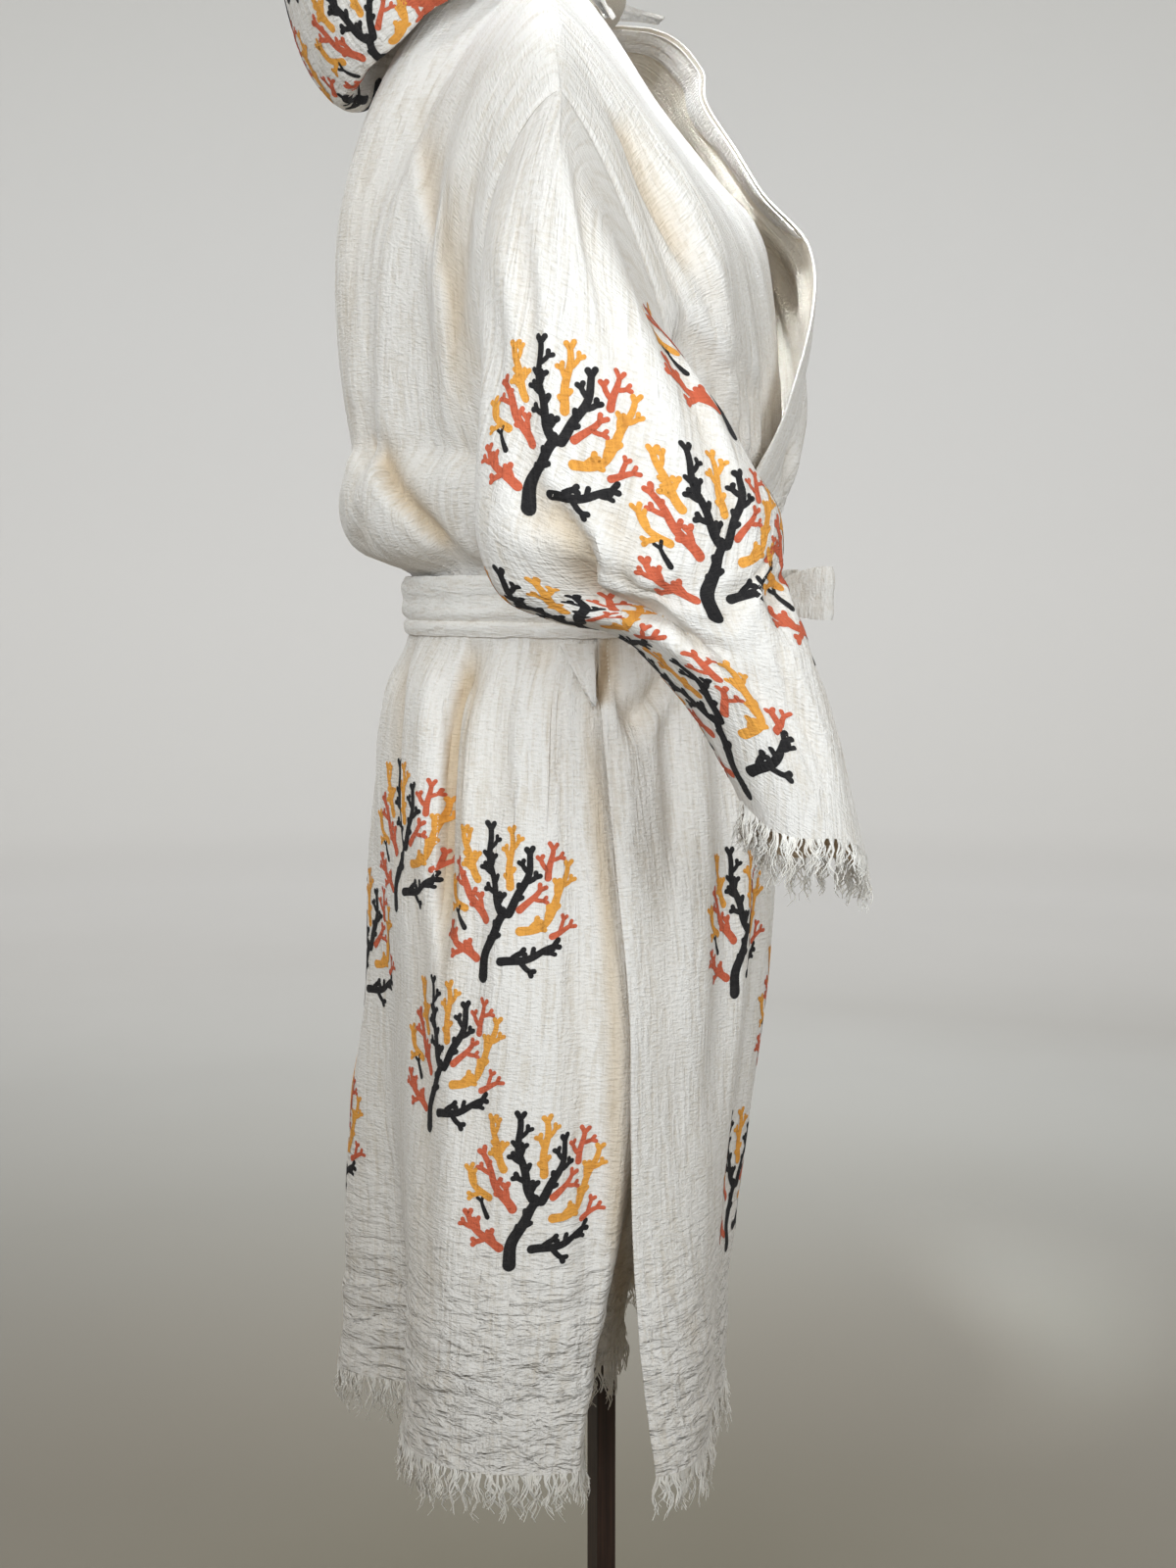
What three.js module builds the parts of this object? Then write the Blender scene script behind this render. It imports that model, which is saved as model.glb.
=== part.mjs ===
// A hooded kimono robe of crinkled cotton, belted and worn by a limbless dress form on a post.
// Millimetres, +Z up. The form faces -Y and its right side is towards -X.
// The origin is under the middle of the base, on the axis of the post.
import * as THREE from 'three';

// Rows of a table as objects, by the names of their columns.
function table(names, rows) {
  return rows.map((row) => Object.fromEntries(names.map((name, k) => [name, row[k]])));
}

// ---- Driving sizes ----
const WALL = 2; // thickness of the cloth
const SEAM = 0.25; // each panel stops this far short of a seam
const HEM = 352; // height of the hem
const CHEST = 1050; // height of the underarms, where the panels leave the rings
const WAIST = 967; // height of the belt's middle
const SIDE = 96; // degrees round from the centre front to a side seam
const UNDERLAP = -25; // degrees round to the hidden edge of the right front
const OPENING_TOP = 640; // the fronts part below this height
const UNDER_HEM_LIFT = 32; // the underlap's hem hangs this much higher
const POST = 17; // side of the square post
const POST_TURN = 28; // degrees that the post is turned

// The robe's outline at each height: half width, and reach forwards and back of the post.
// under is how far the right front lies below the left front that covers it.
const BODY = [
  { z: 352, side: 213, front: 99, back: 213, under: 7 },
  { z: 430, side: 211, front: 102, back: 209, under: 7 },
  { z: 520, side: 208, front: 112, back: 206, under: 7 },
  { z: 600, side: 204, front: 123, back: 201, under: 7 },
  { z: 680, side: 200, front: 133, back: 192, under: 7 },
  { z: 760, side: 194, front: 137, back: 187, under: 7 },
  { z: 840, side: 186, front: 135, back: 180, under: 7 },
  { z: 900, side: 176, front: 129, back: 171, under: 6 },
  { z: 942, side: 161, front: 120, back: 152, under: 5 },
  { z: 967, side: 158, front: 118, back: 149, under: 5 },
  { z: 991, side: 158.5, front: 118.5, back: 150, under: 6 },
  { z: 1004, side: 175, front: 128, back: 186, under: 8 },
  { z: 1020, side: 186, front: 135, back: 201, under: 11 },
  { z: 1050, side: 197, front: 142, back: 208, under: 16 },
];

// The free edge of the left front, and the edge where the right front turns under it, in degrees.
const EDGES = [
  { z: 352, free: 59, turn: 76 },
  { z: 495, free: 65, turn: 72 },
  { z: 640, free: 71.5, turn: 72.5 },
  { z: 776, free: 78, turn: 79 },
  { z: 907, free: 83, turn: 84 },
  { z: 967, free: 84, turn: 85 },
  { z: 1000, free: 71, turn: 72 },
  { z: 1050, free: 40, turn: 41 },
];

// Folds of the body and skirt: degrees round, reach either way, depth, and the heights they run between.
// A negative depth stands out as a lobe. lean is degrees per 100 mm of height.
const FOLDS = table(
  ['at', 'before', 'after', 'depth', 'low', 'high', 'ramp', 'lean'],
  [
    [157, 44, 22, 56, -400, 900, 560, 0],
    [206, 20, 40, 46, -400, 880, 540, 0],
    [128, 7, 9, 13, 700, 946, 60, 1],
    [112, 9, 8, 6, 640, 946, 90, -1],
    [50, 26, 30, -36, -400, 640, 300, 0],
    [66, 9, 6, 8, 760, 946, 70, 3],
    [48, 10, 9, 9, 560, 946, 110, 2],
    [26, 10, 12, 10, 420, 946, 140, 1],
    [2, 11, 10, 9, 520, 946, 120, 0],
    [-24, 12, 10, 11, 400, 946, 150, -1],
    [-52, 13, 12, 13, 100, 946, 300, -1],
    [-82, 10, 12, 9, 560, 946, 110, -1],
    [238, 12, 10, 12, 620, 946, 90, -1],
    [182, 13, 12, 12, 560, 946, 120, 0],
    [150, 11, 10, 12, 972, 1150, 45, 4],
    [186, 12, 12, 9, 972, 1150, 45, -3],
    [222, 12, 10, 11, 972, 1150, 45, -4],
    [14, 13, 13, 9, 972, 1150, 45, 6],
    [-30, 13, 12, 10, 972, 1150, 45, 5],
  ],
);

// Heights of the rings, closest about the belt.
const LEVELS = [
  352, 384, 428, 485, 555, 625, 695, 760, 820, 872, 912, 944, 967, 990, 1001, 1014, 1031, 1050,
];
const UPPER_ROWS = 9;

// The shoulder line from the end of the shoulder to the neck, then the neckline to its middle at the back.
const SHOULDER = [
  { u: 0, x: 245, y: 28, z: 1302 },
  { u: 0.4, x: 187, y: 36, z: 1374 },
  { u: 0.7, x: 134, y: 36, z: 1404 },
  { u: 1, x: 80, y: 34, z: 1432 },
];
const NAPE = [
  { u: 0, x: 80, y: 34, z: 1432 },
  { u: 0.5, x: 52, y: 92, z: 1438 },
  { u: 1, x: 0, y: 112, z: 1438 },
];
const SHOULDER_SPANS = 7;
const BACK_COLUMNS = 22;
const NECK_SHARE = SHOULDER_SPANS / BACK_COLUMNS; // share of the back's columns that each shoulder takes

// The front edges above the chest, from the chest up to the neck.
const EDGE_LEFT = [
  { v: 0, x: -127, y: -103, z: 1050 },
  { v: 0.2, x: -88, y: -138, z: 1122 },
  { v: 0.36, x: -66, y: -157, z: 1194 },
  { v: 0.46, x: -48, y: -153, z: 1238 },
  { v: 0.56, x: -18, y: -124, z: 1278 },
  { v: 0.66, x: 20, y: -104, z: 1322 },
  { v: 0.76, x: 52, y: -84, z: 1364 },
  { v: 0.86, x: 69, y: -80, z: 1396 },
  { v: 0.94, x: 80, y: -44, z: 1428 },
  { v: 1, x: 80, y: 34, z: 1432 },
];
const EDGE_RIGHT = [
  { v: 0, x: 77, y: -113, z: 1050 },
  { v: 0.2, x: 45, y: -123, z: 1112 },
  { v: 0.35, x: -5, y: -125, z: 1172 },
  { v: 0.48, x: -42, y: -121, z: 1225 },
  { v: 0.56, x: -54, y: -110, z: 1251 },
  { v: 0.66, x: -60, y: -84, z: 1277 },
  { v: 0.8, x: -66, y: -42, z: 1330 },
  { v: 0.92, x: -70, y: -2, z: 1392 },
  { v: 1, x: -80, y: 34, z: 1432 },
];

// Hollows and swells of the upper panels: where on the panel, how far they reach, and how deep.
const BACK_DENTS = [
  { u: 0.2, v: 0.38, across: 0.1, along: 0.55, depth: 15 },
  { u: 0.8, v: 0.42, across: 0.1, along: 0.5, depth: 13 },
  { u: 0.48, v: 0.2, across: 0.08, along: 0.3, depth: 6 },
];
const RIGHT_DENTS = [
  { u: 0.2, v: 0.55, across: 0.14, along: 0.4, depth: 10 },
  { u: 0.42, v: 0.35, across: 0.09, along: 0.3, depth: 6 },
];
const LEFT_DENTS = [
  { u: 0.2, v: 0.5, across: 0.14, along: 0.4, depth: 10 },
  { u: 0.55, v: 0.4, across: 0.1, along: 0.4, depth: 8 },
];

// Sections of a sleeve from the armhole to the cuff. Each has a back and a front point (y, z),
// an outer and an inner point (x, z), lean, which is 1 for a round section and 2 for a pointed one,
// and tip, how far the outer point lies behind the middle.
const SLEEVE = table(
  ['s', 'backY', 'backZ', 'frontY', 'frontZ', 'outer', 'outerZ', 'inner', 'innerZ', 'lean', 'tip'],
  [
    [0, 80, 1190, -44, 1140, 245, 1302, 199, 1052, 1.8, 10],
    [1, 81, 1172, -36, 1128, 290, 1256, 226, 1046, 1.75, 6],
    [2, 80, 1146, -40, 1116, 324, 1204, 238, 1034, 1.5, 3],
    [3, 78, 1114, -52, 1104, 344, 1152, 243, 1018, 1.2, 0],
    [4, 79, 1080, -72, 1083, 356, 1102, 246, 1000, 1.05, 0],
    [5, 80, 1046, -91, 1054, 362, 1056, 248, 984, 1, 0],
    [6, 78, 1006, -108, 1028, 363, 1012, 250, 972, 1, 0],
    [7, 62, 976, -112, 1006, 360, 984, 252, 964, 1, 0],
    [8, 30, 961, -113, 990, 357, 968, 254, 956, 1, 0],
    [9, -4, 953, -118, 970, 354, 952, 256, 946, 1, 0],
    [10, -30, 930, -128, 946, 352, 932, 258, 926, 1, 0],
    [11, -55, 900, -141, 911, 350, 902, 260, 896, 1, 0],
    [12, -74, 869, -154, 868, 349, 866, 261, 860, 1, 0],
    [13, -88, 845, -168, 803, 349, 826, 261, 802, 1, 0],
  ],
);
const BACK_LEAN = 0.3; // share of the lean that the back half of a section takes
const SLEEVE_ROUND = 18;
const SLEEVE_ROWS = 19;
// Folds of a sleeve: section, degrees round from the outer side over the front, reaches, depth, and
// how many degrees the fold turns for each section.
const SLEEVE_FOLDS = [
  { s: 7.6, round: 318, along: 1.6, across: 40, depth: 30, turn: 0 },
  { s: 8.6, round: 336, along: 1.5, across: 22, depth: 18, turn: 14 },
  { s: 8.4, round: 62, along: 1.8, across: 20, depth: 9, turn: -8 },
  { s: 3.5, round: 300, along: 3, across: 22, depth: 6, turn: 4 },
  { s: 7.8, round: 180, along: 2.4, across: 40, depth: 16, turn: 0 },
  { s: 11, round: 20, along: 2.2, across: 26, depth: 5, turn: 8 },
];

// The hood, fallen back: its seam follows the neckline and its rim stands behind the neck.
const RIM = [
  { u: 0, x: -70, y: -8, z: 1394 },
  { u: 0.12, x: -92, y: 26, z: 1438 },
  { u: 0.3, x: -112, y: 118, z: 1476 },
  { u: 0.42, x: -72, y: 208, z: 1490 },
  { u: 0.5, x: 0, y: 244, z: 1490 },
  { u: 0.58, x: 72, y: 208, z: 1490 },
  { u: 0.7, x: 112, y: 118, z: 1478 },
  { u: 0.88, x: 96, y: 10, z: 1456 },
  { u: 1, x: 82, y: -50, z: 1436 },
];
const HOOD_SECTION = [
  { v: 0, across: 0, drop: 0, rise: 0 },
  { v: 0.12, across: 0.2, drop: 0.05, rise: 12 },
  { v: 0.3, across: 0.5, drop: 0.66, rise: 6 },
  { v: 0.5, across: 0.64, drop: 1, rise: 0 },
  { v: 0.66, across: 0.86, drop: 0.88, rise: 0 },
  { v: 0.84, across: 1, drop: 0.46, rise: 0 },
  { v: 1, across: 1.02, drop: 0, rise: 0 },
];
const HOOD_LIFT = 2.6; // the hood's seam lies this far above the neckline
const HOOD_DEPTH = 122;
const HOOD_COLUMNS = 22;
const HOOD_ROWS = 9;

// The belt's profile up its height: how far its face stands off the robe.
const BELT_HALF = 22;
const BELT_PROFILE = [
  { up: -22, out: 3.6 },
  { up: -13, out: 5 },
  { up: -10, out: 3.2 },
  { up: -4, out: 6 },
  { up: 6, out: 4.6 },
  { up: 15, out: 6.2 },
  { up: 22, out: 3.8 },
];
const BELT_THICK = 2.2;
const BELT_COLUMNS = 36;

// The bow lies over the belt at the front, a little to the right of the middle.
const KNOT = { x: -52, y: -129, z: 971, across: 26, deep: 17, high: 30 };

// The fringes: strands of the same cloth's threads, worked loose below a narrow strip.
const STRIP = 3;
const FRINGE_GAP = 0.8;
const HEM_FRINGES = {
  back: { count: 76, length: 36, lean: 9, seed: 1 },
  right: { count: 40, length: 34, lean: 9, seed: 2 },
  left: { count: 66, length: 37, lean: 9, seed: 3 },
};
const CUFF_FRINGE = { count: 30, length: 30, lean: 8, seed: 4 };

// The dress form: half width and reach forwards and back at each height.
const FORM = [
  { z: 690, side: 148, front: 78, back: 118 },
  { z: 760, side: 158, front: 86, back: 128 },
  { z: 830, side: 158, front: 90, back: 126 },
  { z: 900, side: 143, front: 86, back: 108 },
  { z: 965, side: 126, front: 80, back: 92 },
  { z: 1040, side: 136, front: 88, back: 96 },
  { z: 1130, side: 152, front: 96, back: 104 },
  { z: 1215, side: 160, front: 84, back: 110 },
  { z: 1290, side: 170, front: 52, back: 106 },
  { z: 1340, side: 174, front: 20, back: 92 },
  { z: 1366, side: 156, front: 4, back: 77 },
  { z: 1386, side: 98, front: -5, back: 67 },
  { z: 1400, side: 64, front: 0, back: 65 },
  { z: 1412, side: 56, front: 12, back: 64 },
  { z: 1424, side: 55, front: 18, back: 64 },
  { z: 1452, side: 52, front: 20, back: 62 },
];
const FORM_ROUND = 20;

// ---- Small helpers ----
const clamp = (t) => Math.min(1, Math.max(0, t));
const soft = (t) => clamp(t) ** 2 * (3 - 2 * clamp(t));
const rad = THREE.MathUtils.degToRad;
const lerp = THREE.MathUtils.lerp;
const point = (x, y, z) => new THREE.Vector3(x, y, z);
const steps = (count) => Array.from({ length: count + 1 }, (_, i) => i / count);
const vary = (i, seed) => Math.abs((Math.sin(i * 12.9898 + seed * 78.233) * 43758.5453) % 1);

// Reads all columns of a table at one value of its key column, on smooth curves through the rows.
function read(rows, key, at) {
  let i = 0;
  while (i < rows.length - 2 && at > rows[i + 1][key]) i += 1;
  const a = rows[i];
  const b = rows[i + 1];
  const before = rows[i - 1] ?? a;
  const after = rows[i + 2] ?? b;
  const step = b[key] - a[key];
  const t = clamp((at - a[key]) / step);
  const result = {};
  for (const name of Object.keys(a)) {
    const start = (step * (b[name] - before[name])) / (b[key] - before[key]);
    const end = (step * (after[name] - a[name])) / (after[key] - a[key]);
    result[name] = hermite(a[name], b[name], start, end, t);
  }
  return result;
}

function hermite(a, b, start, end, t) {
  const s = t * t * (3 - 2 * t);
  return a + (b - a) * s + start * t * (1 - t) ** 2 - end * t * t * (1 - t);
}

function place(row) {
  return point(row.x, row.y, row.z);
}

function mirrored(p) {
  return point(-p.x, p.y, p.z);
}

// A bump of height 1 that fades to nothing at 1 either way.
function bell(t) {
  return Math.abs(t) < 1 ? Math.cos((Math.PI * t) / 2) ** 2 : 0;
}

// ---- Walls ----
// Normals of a grid of points, rows by columns. A ring's columns go all round.
function gridNormals(grid, ring) {
  const last = grid[0].length - 1;
  return grid.map((row, i) =>
    row.map((_, j) => {
      const left = ring ? (j + last) % (last + 1) : Math.max(0, j - 1);
      const right = ring ? (j + 1) % (last + 1) : Math.min(last, j + 1);
      const across = row[right].clone().sub(row[left]);
      const along = grid[Math.min(grid.length - 1, i + 1)][j].clone().sub(grid[Math.max(0, i - 1)][j]);
      return across.cross(along).normalize();
    }),
  );
}

function moved(grid, normals, distance) {
  return grid.map((row, i) => row.map((p, j) => p.clone().addScaledVector(normals[i][j], distance)));
}

// A closed wall between two grids of the same size, the outer one facing along its normals.
function wallBetween(outer, inner, ring = false) {
  const rows = outer.length;
  const columns = outer[0].length;
  const corners = [...outer.flat(), ...inner.flat()];
  const index = [];
  const at = (layer, i, j) => layer * rows * columns + i * columns + (j % columns);
  const quad = (a, b, c, d) => index.push(a, b, c, a, c, d);
  const spans = ring ? columns : columns - 1;
  for (let i = 0; i < rows - 1; i += 1) {
    for (let j = 0; j < spans; j += 1) {
      quad(at(0, i, j), at(0, i, j + 1), at(0, i + 1, j + 1), at(0, i + 1, j));
      quad(at(1, i, j), at(1, i + 1, j), at(1, i + 1, j + 1), at(1, i, j + 1));
    }
  }
  for (let j = 0; j < spans; j += 1) {
    quad(at(0, 0, j), at(1, 0, j), at(1, 0, j + 1), at(0, 0, j + 1));
    quad(at(0, rows - 1, j), at(0, rows - 1, j + 1), at(1, rows - 1, j + 1), at(1, rows - 1, j));
  }
  if (!ring) {
    for (let i = 0; i < rows - 1; i += 1) {
      quad(at(0, i, 0), at(0, i + 1, 0), at(1, i + 1, 0), at(1, i, 0));
      quad(at(0, i, spans), at(1, i, spans), at(1, i + 1, spans), at(0, i + 1, spans));
    }
  }
  return geometryOf(corners, index);
}

function geometryOf(corners, index) {
  const geometry = new THREE.BufferGeometry().setFromPoints(corners);
  geometry.setIndex(index);
  geometry.computeVertexNormals();
  return geometry;
}

// The inner face of the cloth below its outer face. A seam's own normals make two walls meet square to it.
function innerFace(grid, ring = false, seamNormal = () => null) {
  const normals = gridNormals(grid, ring).map((row, i) => row.map((n, j) => seamNormal(i, j) ?? n));
  return moved(grid, normals, -WALL);
}

function cloth(grid, ring = false, seamNormal = () => null) {
  return wallBetween(grid, innerFace(grid, ring, seamNormal), ring);
}

// The same grid with its columns the other way round, so that its other face is the outer one.
function turned(grid) {
  return grid.map((row) => row.slice().reverse());
}

// Moves a panel's edge columns and its top row in, so that it stops short of its seams.
function trimmed(grid, { left = SEAM, right = SEAM, top = SEAM } = {}) {
  const pull = (from, to, by) => from.clone().addScaledVector(to.clone().sub(from).normalize(), by);
  const last = grid[0].length - 1;
  const result = grid.map((row) =>
    row.map((p, j) => {
      if (j === 0) return pull(p, row[1], left);
      return j === last ? pull(p, row[last - 1], right) : p.clone();
    }),
  );
  const head = result.length - 1;
  result[head] = result[head].map((p, j) => pull(p, result[head - 1][j], top));
  return result;
}

// ---- The body below the arms ----
function foldDepth(angle, z) {
  let depth = 0;
  for (const fold of FOLDS) {
    const away = angle - fold.at - (fold.lean * (z - WAIST)) / 100;
    const reach = away < 0 ? fold.before : fold.after;
    const rows = soft((z - fold.low) / fold.ramp) * soft((fold.high - z) / fold.ramp);
    depth += fold.depth * bell(away / reach) * rows;
  }
  return depth;
}

// A point of the body's ring, moved towards the ring's middle by a depth.
function ringPoint(angle, z, extra = 0) {
  const size = read(BODY, 'z', z);
  const middle = (size.back - size.front) / 2;
  const reach = (size.back + size.front) / 2;
  const x = -size.side * Math.sin(rad(angle));
  const y = middle - reach * Math.cos(rad(angle));
  const share = 1 - (foldDepth(angle, z) + extra) / Math.hypot(x, y - middle);
  return point(x * share, middle + (y - middle) * share, z);
}

// The right front runs on under the left front, and falls away from it towards the hem.
const RECESS = 0.5;
const TUCK_START = 7;
const TUCK_REACH = 11;
function rightFrontPoint(angle, z) {
  const { free, turn } = read(EDGES, 'z', z);
  const { under, front, back } = read(BODY, 'z', z);
  const open = soft((OPENING_TOP - z) / (OPENING_TOP - HEM));
  const tuck = under * soft((free + TUCK_START - angle) / TUCK_REACH);
  const shade = 9 * bell((angle - free - 9) / 9) * soft((930 - z) / 120);
  const p = ringPoint(angle, z, tuck + shade);
  const inside = soft((turn - angle) / 13) * open;
  const middle = (back - front) / 2;
  const lift = UNDER_HEM_LIFT * soft((turn - angle) / 20) * clamp((OPENING_TOP - z) / (OPENING_TOP - HEM));
  return point(p.x * (1 - RECESS * inside), middle + (p.y - middle) * (1 - RECESS * inside), z + lift);
}

// The free edge of the left front stands a little off the right front.
const EDGE_STAND = 5;
function leftFrontPoint(angle, z) {
  const { free } = read(EDGES, 'z', z);
  return ringPoint(angle, z, -EDGE_STAND * soft((angle - free + 16) / 16) * soft((940 - z) / 60) - 0.6);
}

// ---- The upper panels ----
const LIFT_OFF = 1.05; // how strongly the panels leave the chest straight up
const FALL_IN = 0.62; // how strongly they come in to the shoulder

// A panel from the chest to the shoulder, fitted to its two side edges.
function upperPoint(u, v, { bottom, top, left, right, leftPull, rightPull, towards, dents }) {
  const free = (at) => {
    const low = bottom(at);
    const high = top(at);
    const height = high.z - low.z;
    return point(
      hermite(low.x, high.x, 0, 0.5 * (high.x - low.x), v),
      hermite(low.y, high.y, 0, towards * FALL_IN * height, v),
      hermite(low.z, high.z, LIFT_OFF * height, 0.36 * height, v),
    );
  };
  const p = free(u);
  p.addScaledVector(left(v).sub(free(0)), (1 - u) ** leftPull);
  p.addScaledVector(right(v).sub(free(1)), u ** rightPull);
  for (const dent of dents) {
    const depth = dent.depth * bell((u - dent.u) / dent.across) * bell((v - dent.v) / dent.along);
    p.y += depth * towards;
    p.x *= 1 - depth / 900;
  }
  return p;
}

function pointed(value, power) {
  return Math.sign(value) * Math.abs(value) ** power;
}

// A point of a sleeve's section: degrees from the outer side over the front.
function sectionPoint(s, round) {
  const c = read(SLEEVE, 's', s);
  const power = round < 180 ? c.lean : lerp(1, c.lean, BACK_LEAN);
  const cos = pointed(Math.cos(rad(round)), power);
  const sin = pointed(Math.sin(rad(round)), power);
  let depth = 0;
  for (const fold of SLEEVE_FOLDS) {
    const gap = ((round - fold.round - fold.turn * (s - fold.s) + 540) % 360) - 180;
    depth += fold.depth * bell((s - fold.s) / fold.along) * bell(gap / fold.across);
  }
  const middleY = (c.backY + c.frontY) / 2;
  const sideways = c.outer + (c.inner - c.outer) * 0.5;
  const x = sideways + ((c.outer - c.inner) / 2) * cos;
  const y = middleY + ((c.frontY - c.backY) / 2) * sin;
  const outInZ = (c.outerZ + c.innerZ) / 2 + ((c.outerZ - c.innerZ) / 2) * cos;
  const backFrontZ = (c.backZ + c.frontZ) / 2 + ((c.frontZ - c.backZ) / 2) * sin;
  const share = sin * sin;
  const z = outInZ * (1 - share) + backFrontZ * share + 0.5 * share * ((c.outerZ - c.innerZ) * cos);
  const kept = 1 - depth / Math.hypot(x - sideways, y - middleY);
  const tip = c.tip * Math.max(0, cos);
  return point(-(sideways + (x - sideways) * kept), middleY + (y - middleY) * kept + tip, z);
}

// The armhole's edge from the underarm up to the shoulder, at the back or the front of the right side.
function armhole(v, back) {
  return sectionPoint(0, back ? 180 + 180 * v : 180 - 180 * v);
}

// The shoulder seam is a line of straight spans, so that both panels end on the same line.
function shoulderPoint(u) {
  const span = Math.min(SHOULDER_SPANS - 1, Math.floor(u * SHOULDER_SPANS + 1e-9));
  const start = place(read(SHOULDER, 'u', span / SHOULDER_SPANS));
  const end = place(read(SHOULDER, 'u', (span + 1) / SHOULDER_SPANS));
  return start.lerp(end, u * SHOULDER_SPANS - span);
}

function backTop(u) {
  const half = Math.min(u, 1 - u);
  const p =
    half < NECK_SHARE
      ? shoulderPoint(half / NECK_SHARE)
      : place(read(NAPE, 'u', (half - NECK_SHARE) / (0.5 - NECK_SHARE)));
  return u < 0.5 ? mirrored(p) : p;
}

const backPanel = {
  bottom: (u) => ringPoint(lerp(SIDE, 360 - SIDE, u), CHEST),
  top: backTop,
  left: (v) => armhole(v, true),
  right: (v) => mirrored(armhole(v, true)),
  leftPull: 2,
  rightPull: 2,
  towards: -1,
  dents: BACK_DENTS,
};
const rightPanel = {
  bottom: (u) => rightFrontPoint(lerp(SIDE, UNDERLAP, u), CHEST),
  top: (u) => mirrored(shoulderPoint(u)),
  left: (v) => armhole(v, false),
  right: (v) => place(read(EDGE_RIGHT, 'v', v)),
  leftPull: 2.4,
  rightPull: 1.5,
  towards: 1,
  dents: RIGHT_DENTS,
};
const leftPanel = {
  bottom: (u) => leftFrontPoint(lerp(-SIDE, read(EDGES, 'z', CHEST).free, u), CHEST),
  top: shoulderPoint,
  left: (v) => mirrored(armhole(v, false)),
  right: (v) => place(read(EDGE_LEFT, 'v', v)),
  leftPull: 2.4,
  rightPull: 1.5,
  towards: 1,
  dents: LEFT_DENTS,
};

// All rows of a panel: the rings below the chest, then the upper panel.
function panelGrid(columns, lower, upper) {
  const rows = LEVELS.map((z) => columns.map((u) => lower(u, z)));
  for (let i = 1; i <= UPPER_ROWS; i += 1) {
    rows.push(columns.map((u) => upperPoint(u, i / UPPER_ROWS, upper)));
  }
  return rows;
}

const LEFT_COLUMNS = 3 * SHOULDER_SPANS;
const RIGHT_COLUMNS = 3 * SHOULDER_SPANS;
const backColumns = steps(BACK_COLUMNS);
const leftColumns = steps(LEFT_COLUMNS);
const rightColumns = steps(RIGHT_COLUMNS);
const TURN_COLUMN = 8 / RIGHT_COLUMNS; // the right front's turned edge lies this far across its columns

function rightAngle(u, z) {
  const turn = lerp(read(EDGES, 'z', z).turn, lerp(SIDE, UNDERLAP, TURN_COLUMN), soft((z - 930) / 120));
  return u < TURN_COLUMN
    ? lerp(SIDE, turn, u / TURN_COLUMN)
    : lerp(turn, UNDERLAP, (u - TURN_COLUMN) / (1 - TURN_COLUMN));
}

const backGrid = panelGrid(backColumns, (u, z) => ringPoint(lerp(SIDE, 360 - SIDE, u), z), backPanel);
const rightGrid = panelGrid(rightColumns, (u, z) => rightFrontPoint(rightAngle(u, z), z), rightPanel);
const leftGrid = panelGrid(
  leftColumns,
  (u, z) => leftFrontPoint(lerp(-SIDE, read(EDGES, 'z', z).free, u), z),
  leftPanel,
);

// ---- Sleeves ----
const sleeveGrid = steps(SLEEVE_ROWS).map((t) =>
  steps(SLEEVE_ROUND)
    .slice(0, -1)
    .map((a) => sectionPoint(t * (SLEEVE.length - 1), 360 * a)),
);

// Moves a tube's first ring in along it, so that it stops short of the armhole.
function parted(grid, by) {
  const first = grid[0].map((p, j) => p.clone().addScaledVector(grid[1][j].clone().sub(p).normalize(), by));
  return [first, ...grid.slice(1)];
}

// ---- Hood ----
function neckline(u) {
  if (u < 0.2) return place(read(EDGE_RIGHT, 'v', lerp(0.92, 1, u / 0.2)));
  if (u > 0.8) return place(read(EDGE_LEFT, 'v', lerp(0.94, 1, (1 - u) / 0.2)));
  return backTop(lerp(NECK_SHARE, 1 - NECK_SHARE, (u - 0.2) / 0.6));
}

function hoodPoint(u, v) {
  const seam = neckline(u);
  seam.z += HOOD_LIFT;
  const rim = place(read(RIM, 'u', u));
  const section = read(HOOD_SECTION, 'v', v);
  const p = seam.clone().lerp(rim, section.across);
  const depth = HOOD_DEPTH * bell((u - 0.5) / 0.42) ** 1.3;
  p.z += section.rise * Math.sin(Math.PI * u) - depth * section.drop;
  return p;
}

const hoodGrid = steps(HOOD_ROWS).map((v) => steps(HOOD_COLUMNS).map((u) => hoodPoint(u, v)));

// ---- Belt ----
const beltGrid = BELT_PROFILE.map(({ up, out }) =>
  steps(BELT_COLUMNS)
    .slice(0, -1)
    .map((a) => ringPoint(180 - 360 * a, WAIST, -out - BELT_THICK).setZ(WAIST + up)),
);

// A flat band of cloth through stations: its middle line, half width, and the way its width runs.
function band(stations, across) {
  const grid = stations.map(({ x, y, z, half, twist = 0 }) => {
    const side = across.clone().applyAxisAngle(point(0, 0, 1), rad(twist));
    return [-1, 0, 1].map((k) => point(x, y, z).addScaledVector(side, k * half));
  });
  const normals = gridNormals(grid, false);
  return wallBetween(moved(grid, normals, WALL / 2), moved(grid, normals, -WALL / 2));
}

// ---- Fringe ----
// Pairs of points of a wall's outer and inner edge, evenly spaced along it.
function spacedPairs(outer, inner, count, ring) {
  const rim = outer.map((p, j) => [p, inner[j]]);
  if (ring) rim.push(rim[0]);
  const lengths = [0];
  for (let i = 1; i < rim.length; i += 1) {
    lengths.push(lengths[i - 1] + rim[i][0].distanceTo(rim[i - 1][0]));
  }
  return steps(count)
    .slice(0, ring ? count : count + 1)
    .map((share) => {
      const along = share * lengths[lengths.length - 1];
      let i = 0;
      while (i < lengths.length - 2 && lengths[i + 1] < along) i += 1;
      const t = (along - lengths[i]) / (lengths[i + 1] - lengths[i]);
      return [0, 1].map((face) => rim[i][face].clone().lerp(rim[i + 1][face], t));
    });
}

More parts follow.
